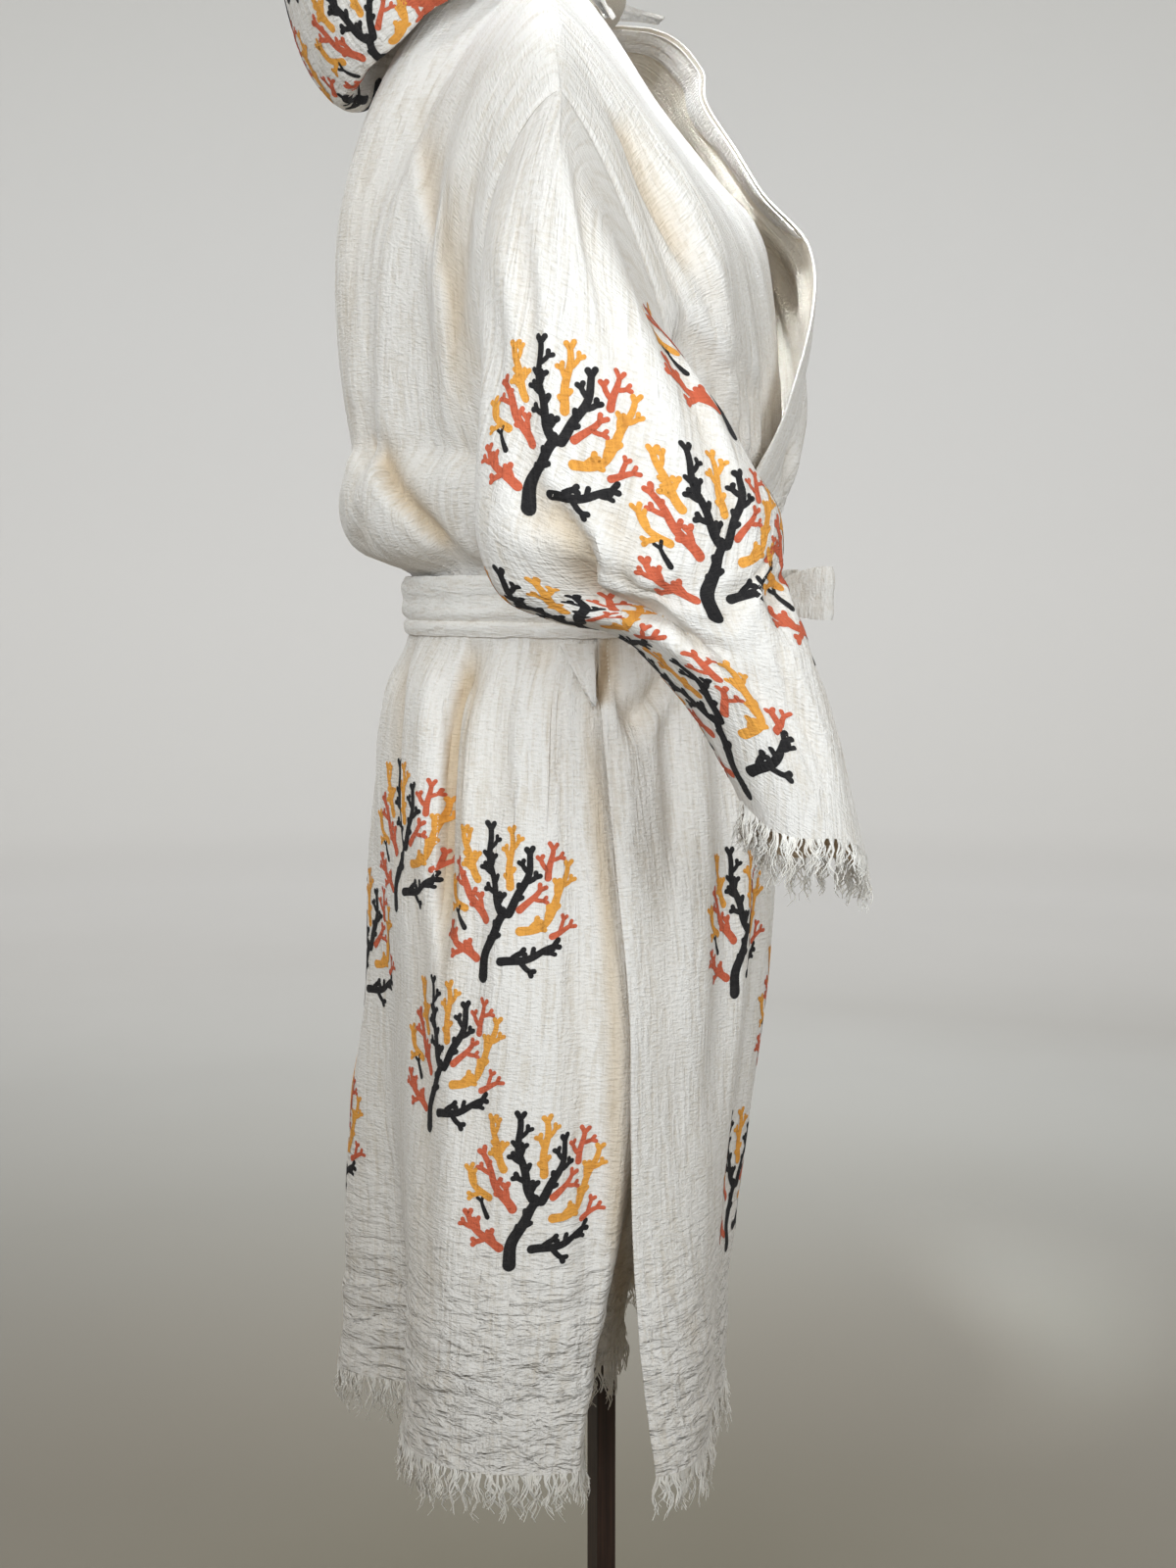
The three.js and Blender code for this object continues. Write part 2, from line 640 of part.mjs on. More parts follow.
// A strip that follows an edge just below it, with one tapered strand under each of its cells.
function fringe(outer, inner, ring, { count, length, lean, seed }) {
  const pairs = spacedPairs(outer, inner, count, ring);
  const columns = pairs.length;
  const line = (face, drop) => pairs.map((pair) => pair[face].clone().add(point(0, 0, -drop)));
  const drop = FRINGE_GAP + STRIP;
  const corners = [...line(0, FRINGE_GAP), ...line(0, drop), ...line(1, FRINGE_GAP), ...line(1, drop)];
  const index = [];
  const at = (layer, j) => layer * columns + (j % columns);
  const quad = (a, b, c, d) => index.push(a, b, c, a, c, d);
  for (let j = 0; j < count; j += 1) {
    quad(at(0, j), at(1, j), at(1, j + 1), at(0, j + 1));
    quad(at(2, j), at(2, j + 1), at(3, j + 1), at(3, j));
    quad(at(0, j), at(0, j + 1), at(2, j + 1), at(2, j));
    const root = [at(1, j), at(1, j + 1), at(3, j + 1), at(3, j)];
    const tip = point(0, 0, 0);
    root.forEach((k) => tip.addScaledVector(corners[k], 0.25));
    tip.z -= length * (0.7 + 0.3 * vary(j, seed));
    tip.x += lean * (vary(j, seed + 1) - 0.5);
    tip.y += lean * (vary(j, seed + 2) - 0.5);
    const end = corners.push(tip) - 1;
    root.forEach((k, side) => index.push(k, end, root[(side + 1) % 4]));
  }
  if (!ring) {
    quad(at(0, 0), at(2, 0), at(3, 0), at(1, 0));
    quad(at(0, count), at(1, count), at(3, count), at(2, count));
  }
  return geometryOf(corners, index);
}

// ---- Closed bodies through rings ----
function closedBody(rings) {
  const count = rings[0].length;
  const corners = rings.flat();
  const index = [];
  const at = (i, j) => i * count + (j % count);
  for (let i = 0; i < rings.length - 1; i += 1) {
    for (let j = 0; j < count; j += 1) {
      index.push(at(i, j), at(i, j + 1), at(i + 1, j + 1), at(i, j), at(i + 1, j + 1), at(i + 1, j));
    }
  }
  const last = rings.length - 1;
  for (let j = 1; j < count - 1; j += 1) {
    index.push(at(0, 0), at(0, j + 1), at(0, j));
    index.push(at(last, 0), at(last, j), at(last, j + 1));
  }
  return geometryOf(corners, index);
}

// ---- The robe's meshes ----
const robe = new THREE.Group();
const MUSLIN = 0xe9e4da;
const LACQUER = 0x2a1a14;

function add(name, geometry, color = MUSLIN, roughness = 0.9) {
  const mesh = new THREE.Mesh(geometry, new THREE.MeshStandardMaterial({ color, roughness, metalness: 0 }));
  mesh.name = name;
  robe.add(mesh);
  return mesh;
}

// Panels meet square to their side seams and shoulder seams.
const ringRows = LEVELS.length;
const topRow = ringRows + UPPER_ROWS - 1;
function seamNormals(grid, seamColumns, seamTop) {
  return (i, j) => {
    const p = grid[i][j];
    if (i < ringRows && seamColumns.includes(j)) return point(Math.sign(p.x), 0.2, 0).normalize();
    if (i === topRow && seamTop(j)) return point(0.5 * Math.sign(p.x), 0, 1).normalize();
    return null;
  };
}

const onShoulder = (j) => Math.min(j, BACK_COLUMNS - j) <= SHOULDER_SPANS;
const backTurned = turned(trimmed(backGrid));
const leftTurned = turned(trimmed(leftGrid));
const rightTrimmed = trimmed(rightGrid);
const backSeams = seamNormals(backTurned, [0, BACK_COLUMNS], onShoulder);
const backInner = innerFace(backTurned, false, backSeams);
const rightInner = innerFace(rightTrimmed, false, seamNormals(rightTrimmed, [0], () => true));
const leftInner = innerFace(leftTurned, false, seamNormals(leftTurned, [LEFT_COLUMNS], () => true));
add('back', wallBetween(backTurned, backInner));
add('front_right', wallBetween(rightTrimmed, rightInner));
add('front_left', wallBetween(leftTurned, leftInner));

const rightSleeve = turned(parted(sleeveGrid, 2 * SEAM));
const leftSleeve = turned(rightSleeve).map((row) => row.map(mirrored));
add('sleeve_right', cloth(rightSleeve, true));
add('sleeve_left', cloth(leftSleeve, true));
add('hood', cloth(turned(hoodGrid)));
add('belt', wallBetween(beltGrid, moved(beltGrid, gridNormals(beltGrid, true), -BELT_THICK), true));

add('fringe_back', fringe(backTurned[0], backInner[0], false, HEM_FRINGES.back));
add('fringe_front_right', fringe(rightTrimmed[0], rightInner[0], false, HEM_FRINGES.right));
add('fringe_front_left', fringe(leftTurned[0], leftInner[0], false, HEM_FRINGES.left));
for (const [name, grid] of [['fringe_cuff_right', rightSleeve], ['fringe_cuff_left', leftSleeve]]) {
  const inner = innerFace(grid, true);
  const [rim, innerRim] = [grid, inner].map((face) => face[face.length - 1].slice().reverse());
  add(name, fringe(rim, innerRim, true, CUFF_FRINGE));
}

// ---- The left front's facing, on the inner face of its neckline edge ----
const FACING_WIDTH = 24;
const FACING_THICK = 1.2;
const FACING_ROWS = 12;
const FACING_FOOT = 0.47; // how far up the edge its rounded end lies
function facingGrid() {
  return steps(FACING_ROWS).map((t) => {
    const v = lerp(FACING_FOOT, 0.985, t);
    const edge = upperPoint(1, v, leftPanel);
    const inner = upperPoint(0.86, v, leftPanel);
    const width = FACING_WIDTH * Math.sqrt(clamp(t / 0.1));
    const inward = inner.sub(edge).normalize();
    return [0.12, 0.55, 1].map((k) => edge.clone().addScaledVector(inward, k * (width + 6)));
  });
}

function liningOf(grid, gap, thick) {
  const normals = gridNormals(grid, false);
  return wallBetween(moved(grid, normals, -gap), moved(grid, normals, -gap - thick));
}

add('facing_left', liningOf(turned(facingGrid()), WALL + 0.8, FACING_THICK));

// ---- A bit of the left front's edge folded back below the belt ----
const FOLD_TOP = 941;
const FOLD_FOOT = 898;
const foldGrid = steps(4).map((t) => {
  const z = lerp(FOLD_FOOT, FOLD_TOP, t);
  const { free } = read(EDGES, 'z', z);
  return steps(2).map((k) => ringPoint(free + 1.5 + lerp(0.8, 9.5, t) * (1 - k), z, -9 - 3 * t));
});
add('edge_fold', cloth(foldGrid));

// ---- Bow: a knot, two loops and two ends, all lying over the belt ----
const knot = new THREE.SphereGeometry(0.5, 14, 10);
knot.rotateX(Math.PI / 2);
knot.scale(KNOT.across, KNOT.deep, KNOT.high);
knot.translate(KNOT.x, KNOT.y, KNOT.z);
add('belt_knot', knot);

const UP = point(0, 0, 1);
const ALONG_X = point(-1, 0, 0);
const RIGHT_LOOP = [
  { x: -66, y: -131, z: 973, half: 9 },
  { x: -76, y: -143, z: 975, half: 15 },
  { x: -86, y: -158, z: 976, half: 18.5 },
  { x: -88, y: -168, z: 976, half: 19 },
  { x: -80, y: -171, z: 976, half: 19 },
  { x: -72, y: -160, z: 976, half: 18 },
  { x: -66, y: -146, z: 974, half: 13 },
  { x: -62, y: -138, z: 973, half: 8 },
];
const LEFT_LOOP = [
  { x: -42, y: -138, z: 973, half: 8 },
  { x: -26, y: -146, z: 974, half: 13 },
  { x: -4, y: -154, z: 975, half: 18 },
  { x: 18, y: -155, z: 975, half: 19 },
  { x: 24, y: -148, z: 975, half: 19 },
  { x: 14, y: -141, z: 975, half: 18 },
  { x: -10, y: -137, z: 974, half: 15 },
  { x: -37, y: -130, z: 973, half: 9 },
];
const RIGHT_END = [
  { x: -60, y: -131, z: 955, half: 6 },
  { x: -66, y: -138, z: 932, half: 13, twist: 8 },
  { x: -68, y: -143, z: 898, half: 18, twist: 14 },
  { x: -69, y: -145, z: 858, half: 20, twist: 10 },
  { x: -71, y: -146, z: 818, half: 20, twist: 6 },
];
const LEFT_END = [
  { x: -44, y: -131, z: 955, half: 6 },
  { x: -37, y: -140, z: 930, half: 11, twist: -6 },
  { x: -29, y: -147, z: 894, half: 15, twist: -10 },
  { x: -23, y: -149, z: 852, half: 18, twist: -6 },
];
add('belt_loop_right', band(RIGHT_LOOP, UP));
add('belt_loop_left', band(LEFT_LOOP, UP));
add('belt_end_right', band(RIGHT_END, ALONG_X));
add('belt_end_left', band(LEFT_END, ALONG_X));

// ---- Dress form, post and base ----
const FORM_ROWS = 18;
const BASE = { radius: 165, high: 22, edge: 6 };
const formRings = steps(FORM_ROWS).map((t) => {
  const size = read(FORM, 'z', lerp(FORM[0].z, FORM[FORM.length - 1].z, t));
  return steps(FORM_ROUND)
    .slice(0, -1)
    .map((a) => {
      const x = size.side * Math.cos(2 * Math.PI * a);
      const y = (size.back - size.front) / 2 + ((size.back + size.front) / 2) * Math.sin(2 * Math.PI * a);
      return point(x, y, size.z);
    });
});
add('form_torso', closedBody(formRings), 0xcfc4b2, 0.85);

const postHeight = FORM[0].z - BASE.high - 2 * FRINGE_GAP;
const post = new THREE.BoxGeometry(POST, POST, postHeight);
const postMesh = add('post', post, LACQUER, 0.35);
postMesh.rotation.z = rad(POST_TURN);
postMesh.position.z = BASE.high + FRINGE_GAP + postHeight / 2;

const baseProfile = [
  [0, 0],
  [BASE.radius - BASE.edge / 3, 0],
  [BASE.radius, BASE.edge / 3],
  [BASE.radius, BASE.high - BASE.edge],
  [BASE.radius - BASE.edge * 0.3, BASE.high - BASE.edge * 0.3],
  [BASE.radius - BASE.edge, BASE.high],
  [0, BASE.high],
].map(([r, z]) => new THREE.Vector2(r, z));
const base = new THREE.LatheGeometry(baseProfile, 32);
base.rotateX(Math.PI / 2);
add('base', base, LACQUER, 0.35);

export default robe;
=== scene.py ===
import math

import bpy
import numpy as np
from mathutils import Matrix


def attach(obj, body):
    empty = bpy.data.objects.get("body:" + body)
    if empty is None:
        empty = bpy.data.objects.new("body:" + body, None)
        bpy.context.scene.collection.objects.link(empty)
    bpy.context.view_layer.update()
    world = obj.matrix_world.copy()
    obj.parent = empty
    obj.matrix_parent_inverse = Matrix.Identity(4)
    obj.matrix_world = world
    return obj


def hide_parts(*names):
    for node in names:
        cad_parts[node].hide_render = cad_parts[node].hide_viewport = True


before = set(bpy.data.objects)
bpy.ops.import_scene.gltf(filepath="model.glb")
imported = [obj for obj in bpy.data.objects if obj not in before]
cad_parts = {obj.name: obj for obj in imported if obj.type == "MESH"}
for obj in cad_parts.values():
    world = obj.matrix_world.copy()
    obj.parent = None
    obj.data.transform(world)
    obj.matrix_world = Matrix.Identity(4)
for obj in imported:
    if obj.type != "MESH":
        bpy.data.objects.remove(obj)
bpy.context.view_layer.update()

# Sizes are in millimetres until a mesh is made. +Z is up and the robe faces -Y.
MM = 0.001

# ---- Camera ----
CAMERA_AT = (-1.550, 0.011, 0.980)
CAMERA_DOWN = math.atan(0.1)
camera = bpy.data.objects.new("camera", bpy.data.cameras.new("camera"))
camera.data.lens = 45
camera.data.sensor_width = 36
camera.location = CAMERA_AT
camera.rotation_euler = (math.pi / 2 - CAMERA_DOWN, 0, -math.pi / 2)
bpy.context.collection.objects.link(camera)
bpy.context.scene.camera = camera

# ---- Sizes of the robe ----
WALL = 1.5
HEM = 352
CHEST = 1050
WAIST = 967
SIDE = 96
UNDERLAP = -25
OPENING_TOP = 640
UNDER_HEM_LIFT = 32
STEP = 3.2  # spacing of the cloth's points across
RISE = 4.2  # and along

# z, half width, reach forwards, reach back, how far the underlap lies below
BODY = np.array([
    (352, 213, 99, 213, 7), (430, 211, 102, 209, 7), (520, 208, 112, 206, 7), (600, 204, 123, 201, 7),
    (680, 200, 133, 192, 7), (760, 194, 137, 187, 7), (840, 186, 135, 180, 7), (900, 176, 129, 171, 6),
    (942, 161, 120, 152, 5), (967, 158, 118, 149, 5), (991, 158.5, 118.5, 150, 6),
    (1004, 175, 128, 186, 8), (1020, 186, 135, 201, 11), (1050, 197, 142, 208, 16),
])
# z, degrees round to the left front's free edge, and to where the right front turns under it
EDGES = np.array([
    (352, 59, 76), (495, 65, 72), (640, 71.5, 72.5), (776, 78, 79), (907, 83, 84), (967, 84, 85),
    (1000, 71, 72), (1050, 40, 41),
])
# degrees round, reach before and after, depth, low, high, ramp, lean
FOLDS = np.array([
    (157, 44, 22, 56, -400, 900, 560, 0), (206, 20, 40, 46, -400, 880, 540, 0),
    (128, 7, 9, 13, 700, 946, 60, 1), (112, 9, 8, 6, 640, 946, 90, -1),
    (50, 26, 30, -36, -400, 640, 300, 0), (66, 9, 6, 8, 760, 946, 70, 3),
    (48, 10, 9, 9, 560, 946, 110, 2), (26, 10, 12, 10, 420, 946, 140, 1),
    (2, 11, 10, 9, 520, 946, 120, 0), (-24, 12, 10, 11, 400, 946, 150, -1),
    (-52, 13, 12, 13, 100, 946, 300, -1), (-82, 10, 12, 9, 560, 946, 110, -1),
    (238, 12, 10, 12, 620, 946, 90, -1), (182, 13, 12, 12, 560, 946, 120, 0),
    (150, 11, 10, 12, 972, 1150, 45, 4), (186, 12, 12, 9, 972, 1150, 45, -3),
    (222, 12, 10, 11, 972, 1150, 45, -4), (14, 13, 13, 9, 972, 1150, 45, 6),
    (-30, 13, 12, 10, 972, 1150, 45, 5),
])
# share along, x, y, z
SHOULDER = np.array([(0, 245, 28, 1302), (0.4, 187, 36, 1374), (0.7, 134, 36, 1404), (1, 80, 34, 1432)])
NAPE = np.array([(0, 80, 34, 1432), (0.5, 52, 92, 1438), (1, 0, 112, 1438)])
NECK_SHARE = 7 / 22
EDGE_LEFT = np.array([
    (0, -127, -103, 1050), (0.2, -88, -138, 1122), (0.36, -66, -157, 1194), (0.46, -48, -153, 1238),
    (0.56, -18, -124, 1278), (0.66, 20, -104, 1322), (0.76, 52, -84, 1364), (0.86, 69, -80, 1396),
    (0.94, 80, -44, 1428), (1, 80, 34, 1432),
])
EDGE_RIGHT = np.array([
    (0, 77, -113, 1050), (0.2, 45, -123, 1112), (0.35, -5, -125, 1172), (0.48, -42, -121, 1225),
    (0.56, -54, -110, 1251), (0.66, -60, -84, 1277), (0.8, -66, -42, 1330), (0.92, -70, -2, 1392),
    (1, -80, 34, 1432),
])
# where across and along a panel, reach across and along, depth
BACK_DENTS = ((0.2, 0.38, 0.1, 0.55, 15), (0.8, 0.42, 0.1, 0.5, 13), (0.48, 0.2, 0.08, 0.3, 6))
RIGHT_DENTS = ((0.2, 0.55, 0.14, 0.4, 10), (0.42, 0.35, 0.09, 0.3, 6))
LEFT_DENTS = ((0.2, 0.5, 0.14, 0.4, 10), (0.55, 0.4, 0.1, 0.4, 8))
# s, back y z, front y z, outer x z, inner x z, lean, tip
SLEEVE = np.array([
    (0, 80, 1190, -44, 1140, 245, 1302, 199, 1052, 1.8, 10),
    (1, 81, 1172, -36, 1128, 290, 1256, 226, 1046, 1.75, 6),
    (2, 80, 1146, -40, 1116, 324, 1204, 238, 1034, 1.5, 3),
    (3, 78, 1114, -52, 1104, 344, 1152, 243, 1018, 1.2, 0),
    (4, 79, 1080, -72, 1083, 356, 1102, 246, 1000, 1.05, 0),
    (5, 80, 1046, -91, 1054, 362, 1056, 248, 984, 1, 0),
    (6, 78, 1006, -108, 1028, 363, 1012, 250, 972, 1, 0),
    (7, 62, 976, -112, 1006, 360, 984, 252, 964, 1, 0),
    (8, 30, 961, -113, 990, 357, 968, 254, 956, 1, 0),
    (9, -4, 953, -118, 970, 354, 952, 256, 946, 1, 0),
    (10, -30, 930, -128, 946, 352, 932, 258, 926, 1, 0),
    (11, -55, 900, -141, 911, 350, 902, 260, 896, 1, 0),
    (12, -74, 869, -154, 868, 349, 866, 261, 860, 1, 0),
    (13, -88, 845, -168, 803, 349, 826, 261, 802, 1, 0),
])
BACK_LEAN = 0.3
# s, degrees round, reach along, reach across, depth, turn
SLEEVE_FOLDS = (
    (7.6, 318, 1.6, 40, 30, 0), (8.6, 336, 1.5, 22, 18, 14), (8.4, 62, 1.8, 20, 9, -8),
    (3.5, 300, 3, 22, 6, 4), (7.8, 180, 2.4, 40, 16, 0), (11, 20, 2.2, 26, 5, 8),
)
RIM = np.array([
    (0, -70, -8, 1394), (0.12, -92, 26, 1438), (0.3, -112, 118, 1476), (0.42, -72, 208, 1490),
    (0.5, 0, 244, 1490), (0.58, 72, 208, 1490), (0.7, 112, 118, 1478), (0.88, 96, 10, 1456),
    (1, 82, -50, 1436),
])
# v, across, drop, rise
HOOD_SECTION = np.array([
    (0, 0, 0, 0), (0.12, 0.2, 0.05, 12), (0.3, 0.5, 0.66, 6), (0.5, 0.64, 1, 0),
    (0.66, 0.86, 0.88, 0), (0.84, 1, 0.46, 0), (1, 1.02, 0, 0),
])
HOOD_DEPTH = 122
HOOD_LIFT = 2.6
BELT_PROFILE = np.array([
    (-22, 3.4), (-18, 5.4), (-13, 5.2), (-10.5, 2.2), (-8.5, 5.6), (-3, 6.3), (5, 4.7), (13, 6.3), (18, 5.8), (22, 3.4),
])
FORM = np.array([
    (690, 148, 78, 118), (760, 158, 86, 128), (830, 158, 90, 126), (900, 143, 86, 108),
    (965, 126, 80, 92), (1040, 136, 88, 96), (1130, 152, 96, 104), (1215, 160, 84, 110),
    (1290, 170, 52, 106), (1340, 174, 20, 92), (1366, 156, 4, 77), (1386, 98, -5, 67),
    (1400, 64, 0, 65), (1412, 56, 12, 64), (1424, 55, 18, 64), (1452, 52, 20, 62),
])


# ---- Small helpers ----
def soft(t):
    t = np.clip(t, 0, 1)
    return t * t * (3 - 2 * t)


def bell(t):
    return np.where(np.abs(t) < 1, np.cos(np.pi * np.clip(t, -1, 1) / 2) ** 2, 0)


def hermite(a, b, start, end, t):
    return a + (b - a) * t * t * (3 - 2 * t) + start * t * (1 - t) ** 2 - end * t * t * (1 - t)


def read(rows, at):
    """The other columns of a table at values of its first one, on smooth curves through its rows."""
    at = np.asarray(at, float)
    i = np.searchsorted(rows[1:-1, 0], at)
    before, a, b, after = (rows[np.clip(i + k, 0, len(rows) - 1)] for k in (-1, 0, 1, 2))
    step = (b - a)[..., :1]
    t = np.clip((at[..., None] - a[..., :1]) / step, 0, 1)
    start = step * (b - before) / (b - before)[..., :1]
    end = step * (after - a) / (after - a)[..., :1]
    return np.moveaxis(hermite(a, b, start, end, t), -1, 0)[1:]


def points(*columns):
    return np.stack(np.broadcast_arrays(*columns), -1).astype(float)


def mirrored(p):
    return p * (-1, 1, 1)


def unit(v):
    return v / np.maximum(np.linalg.norm(v, axis=-1, keepdims=True), 1e-9)


def slopes(grid, ring=False):
    """The steps across and along at each point of a grid of rows and columns."""
    if ring:
        across = (np.roll(grid, -1, 1) - np.roll(grid, 1, 1)) / 2
    else:
        across = np.gradient(grid, axis=1)
    return across, np.gradient(grid, axis=0)


def normals_of(grid, ring=False):
    across, along = slopes(grid, ring)
    return unit(np.cross(across, along))


def lattice(i, j, seed):
    """A fixed random number from -1 to 1 for each cell."""
    n = np.sin(i * 127.1 + j * 311.7 + seed * 74.7) * 43758.5453
    return 2 * (n - np.floor(n)) - 1


def noise(x, y, seed):
    """Smooth noise from -1 to 1, with cells of size 1."""
    i, j = np.floor(x), np.floor(y)
    s, t = soft(x - i), soft(y - j)
    low = lattice(i, j, seed) * (1 - s) + lattice(i + 1, j, seed) * s
    high = lattice(i, j + 1, seed) * (1 - s) + lattice(i + 1, j + 1, seed) * s
    return low * (1 - t) + high * t


# ---- The same forms as the solids ----
def fold_depth(angle, z):
    depth = 0.0
    for at, before, after, deep, low, high, ramp, lean in FOLDS:
        away = angle - at - lean * (z - WAIST) / 100
        reach = np.where(away < 0, before, after)
        depth = depth + deep * bell(away / reach) * soft((z - low) / ramp) * soft((high - z) / ramp)
    return depth


def ring_point(angle, z, extra=0.0):
    side, front, back, _ = read(BODY, z)
    middle, reach = (back - front) / 2, (back + front) / 2
    x, y = -side * np.sin(np.radians(angle)), -reach * np.cos(np.radians(angle))
    share = 1 - (fold_depth(angle, z) + extra) / np.hypot(x, y)
    return points(x * share, middle + y * share, z)


def right_front_point(angle, z):
    free, turn = read(EDGES, z)
    _, front, back, under = read(BODY, z)
    share = np.clip((OPENING_TOP - z) / (OPENING_TOP - HEM), 0, 1)
    tuck = under * soft((free + 7 - angle) / 11)
    shade = 9 * bell((angle - free - 9) / 9) * soft((930 - z) / 120)
    p = ring_point(angle, z, tuck + shade)
    inside = 0.5 * soft((turn - angle) / 13) * soft(share)
    middle = (back - front) / 2
    p[..., 0] *= 1 - inside
    p[..., 1] = middle + (p[..., 1] - middle) * (1 - inside)
    p[..., 2] += UNDER_HEM_LIFT * soft((turn - angle) / 20) * share
    return p


def left_front_point(angle, z):
    free, _ = read(EDGES, z)
    return ring_point(angle, z, -5 * soft((angle - free + 16) / 16) * soft((940 - z) / 60) - 0.6)


def pointed(value, power):
    return np.sign(value) * np.abs(value) ** power


def section_point(s, around):
    """A point of the right sleeve: section, and degrees from the outer side over the front."""
    back_y, back_z, front_y, front_z, outer, outer_z, inner, inner_z, lean, tip = read(SLEEVE, s)
    power = np.where(around < 180, lean, 1 + (lean - 1) * BACK_LEAN)
    cos, sin = pointed(np.cos(np.radians(around)), power), pointed(np.sin(np.radians(around)), power)
    depth = 0.0
    for at, middle, along, reach, deep, turn in SLEEVE_FOLDS:
        gap = (around - middle - turn * (s - at) + 540) % 360 - 180
        depth = depth + deep * bell((s - at) / along) * bell(gap / reach)
    x, y = (outer - inner) / 2 * cos, (front_y - back_y) / 2 * sin
    share = sin * sin
    up = (outer_z - inner_z) / 2 * cos
    z = ((outer_z + inner_z) / 2 + up) * (1 - share) + share * up
    z = z + ((back_z + front_z) / 2 + (front_z - back_z) / 2 * sin) * share
    kept = 1 - depth / np.hypot(x, y)
    return points(-((outer + inner) / 2 + x * kept), (back_y + front_y) / 2 + y * kept + tip * np.maximum(0, cos), z)


def armhole(v, back):
    return section_point(0 * v, 180 + 180 * v if back else 180 - 180 * v)


def shoulder_point(u):
    corners = read(SHOULDER, np.arange(8) / 7)
    return points(*(np.interp(u, np.arange(8) / 7, c) for c in corners))


def back_top(u):
    half = np.minimum(u, 1 - u)
    nape = points(*read(NAPE, np.clip((half - NECK_SHARE) / (0.5 - NECK_SHARE), 0, 1)))
    p = np.where((half < NECK_SHARE)[..., None], shoulder_point(np.minimum(half / NECK_SHARE, 1)), nape)
    return np.where((u < 0.5)[..., None], mirrored(p), p)


def edge(rows):
    return lambda v: points(*read(rows, v))


PANELS = {
    "back": dict(
        bottom=lambda u: ring_point(SIDE + (360 - 2 * SIDE) * u, CHEST + 0 * u), top=back_top,
        left=lambda v: armhole(v, True), right=lambda v: mirrored(armhole(v, True)),
        pulls=(2, 2), towards=-1, dents=BACK_DENTS, right_armhole=True,
    ),
    "front_right": dict(
        bottom=lambda u: right_front_point(SIDE + (UNDERLAP - SIDE) * u, CHEST + 0 * u),
        top=lambda u: mirrored(shoulder_point(u)),
        left=lambda v: armhole(v, False), right=edge(EDGE_RIGHT),
        pulls=(2.4, 1.5), towards=1, dents=RIGHT_DENTS, right_armhole=False,
    ),
    "front_left": dict(
        bottom=lambda u: left_front_point(-SIDE + (40 + SIDE) * u, CHEST + 0 * u), top=shoulder_point,
        left=lambda v: mirrored(armhole(v, False)), right=edge(EDGE_LEFT),
        pulls=(2.4, 1.5), towards=1, dents=LEFT_DENTS, right_armhole=False,
    ),
}


def upper_grid(panel, u, v):
    """A panel from the chest (v 0) to the shoulder (v 1), fitted to its two side edges."""
    t = v[:, None]

    def free(at):
        low, high = panel["bottom"](at), panel["top"](at)
        height = (high - low)[:, 2]
        return points(
            hermite(low[:, 0], high[:, 0], 0, 0.5 * (high - low)[:, 0], t),
            hermite(low[:, 1], high[:, 1], 0, panel["towards"] * 0.62 * height, t),
            hermite(low[:, 2], high[:, 2], 1.05 * height, 0.36 * height, t),
        )

    left_pull, right_pull = panel["pulls"]
    grow = soft(v / 0.125)[:, None, None]
    p = free(u)
    p += (panel["left"](v)[:, None] - free(np.zeros(1))) * ((1 - u) ** left_pull)[:, None] * grow
    grow = grow if panel["right_armhole"] else 1
    p += (panel["right"](v)[:, None] - free(np.ones(1))) * (u ** right_pull)[:, None] * grow
    for at_u, at_v, reach_u, reach_v, deep in panel["dents"]:
        depth = deep * bell((u - at_u) / reach_u) * bell((t - at_v) / reach_v)
        p[..., 1] += depth * panel["towards"]
        p[..., 0] *= 1 - depth / 900
    return p


def right_angle(u, z):
    turn_column = 8 / 21
    _, turn = read(EDGES, z)
    turn = turn + (SIDE + (UNDERLAP - SIDE) * turn_column - turn) * soft((z - 930) / 120)
    outside = SIDE + (turn - SIDE) * u / turn_column
    inside = turn + (UNDERLAP - turn) * (u - turn_column) / (1 - turn_column)
    return np.where(u < turn_column, outside, inside)


LOWER = {
    "back": lambda u, z: ring_point(SIDE + (360 - 2 * SIDE) * u, z),
    "front_right": lambda u, z: right_front_point(right_angle(u, z), z),
    "front_left": lambda u, z: left_front_point(-SIDE + (read(EDGES, z)[0] + SIDE) * u, z),
}


def even(length, step):
    """An even number of steps that fills a length."""
    return 2 * max(1, round(length / step / 2))


Z_ROWS = np.linspace(HEM, CHEST, even(CHEST - HEM, RISE) + 1)
V_ROWS = np.linspace(0, 1, even(460, RISE) + 1)[1:]
WIDTHS = {"back": 620, "front_right": 400, "front_left": 560}


def panel_grid(name):
    u = np.linspace(0, 1, even(WIDTHS[name], STEP) + 1)
    uu, zz = np.meshgrid(u, Z_ROWS)
    grid = np.concatenate([LOWER[name](uu, zz), upper_grid(PANELS[name], u, V_ROWS)])
    rows = np.arange(len(grid))[:, None, None] - (len(Z_ROWS) - 1)
    share = bell(rows / 12) * np.where(rows > 0, soft(u / 0.04) * soft((1 - u) / 0.04), 1.0)[..., None][:, 0]
    for _ in range(24):
        grid[1:-1] += share[1:-1] * (grid[:-2] + grid[2:] - 2 * grid[1:-1]) / 4
    return grid if name == "front_right" else grid[:, ::-1]


def neckline(u):
    right = points(*read(EDGE_RIGHT, 0.92 + 0.08 * np.clip(u / 0.2, 0, 1)))
    left = points(*read(EDGE_LEFT, 0.94 + 0.06 * np.clip((1 - u) / 0.2, 0, 1)))
    back = back_top(NECK_SHARE + (1 - 2 * NECK_SHARE) * np.clip((u - 0.2) / 0.6, 0, 1))
    return np.where((u < 0.2)[..., None], right, np.where((u > 0.8)[..., None], left, back))


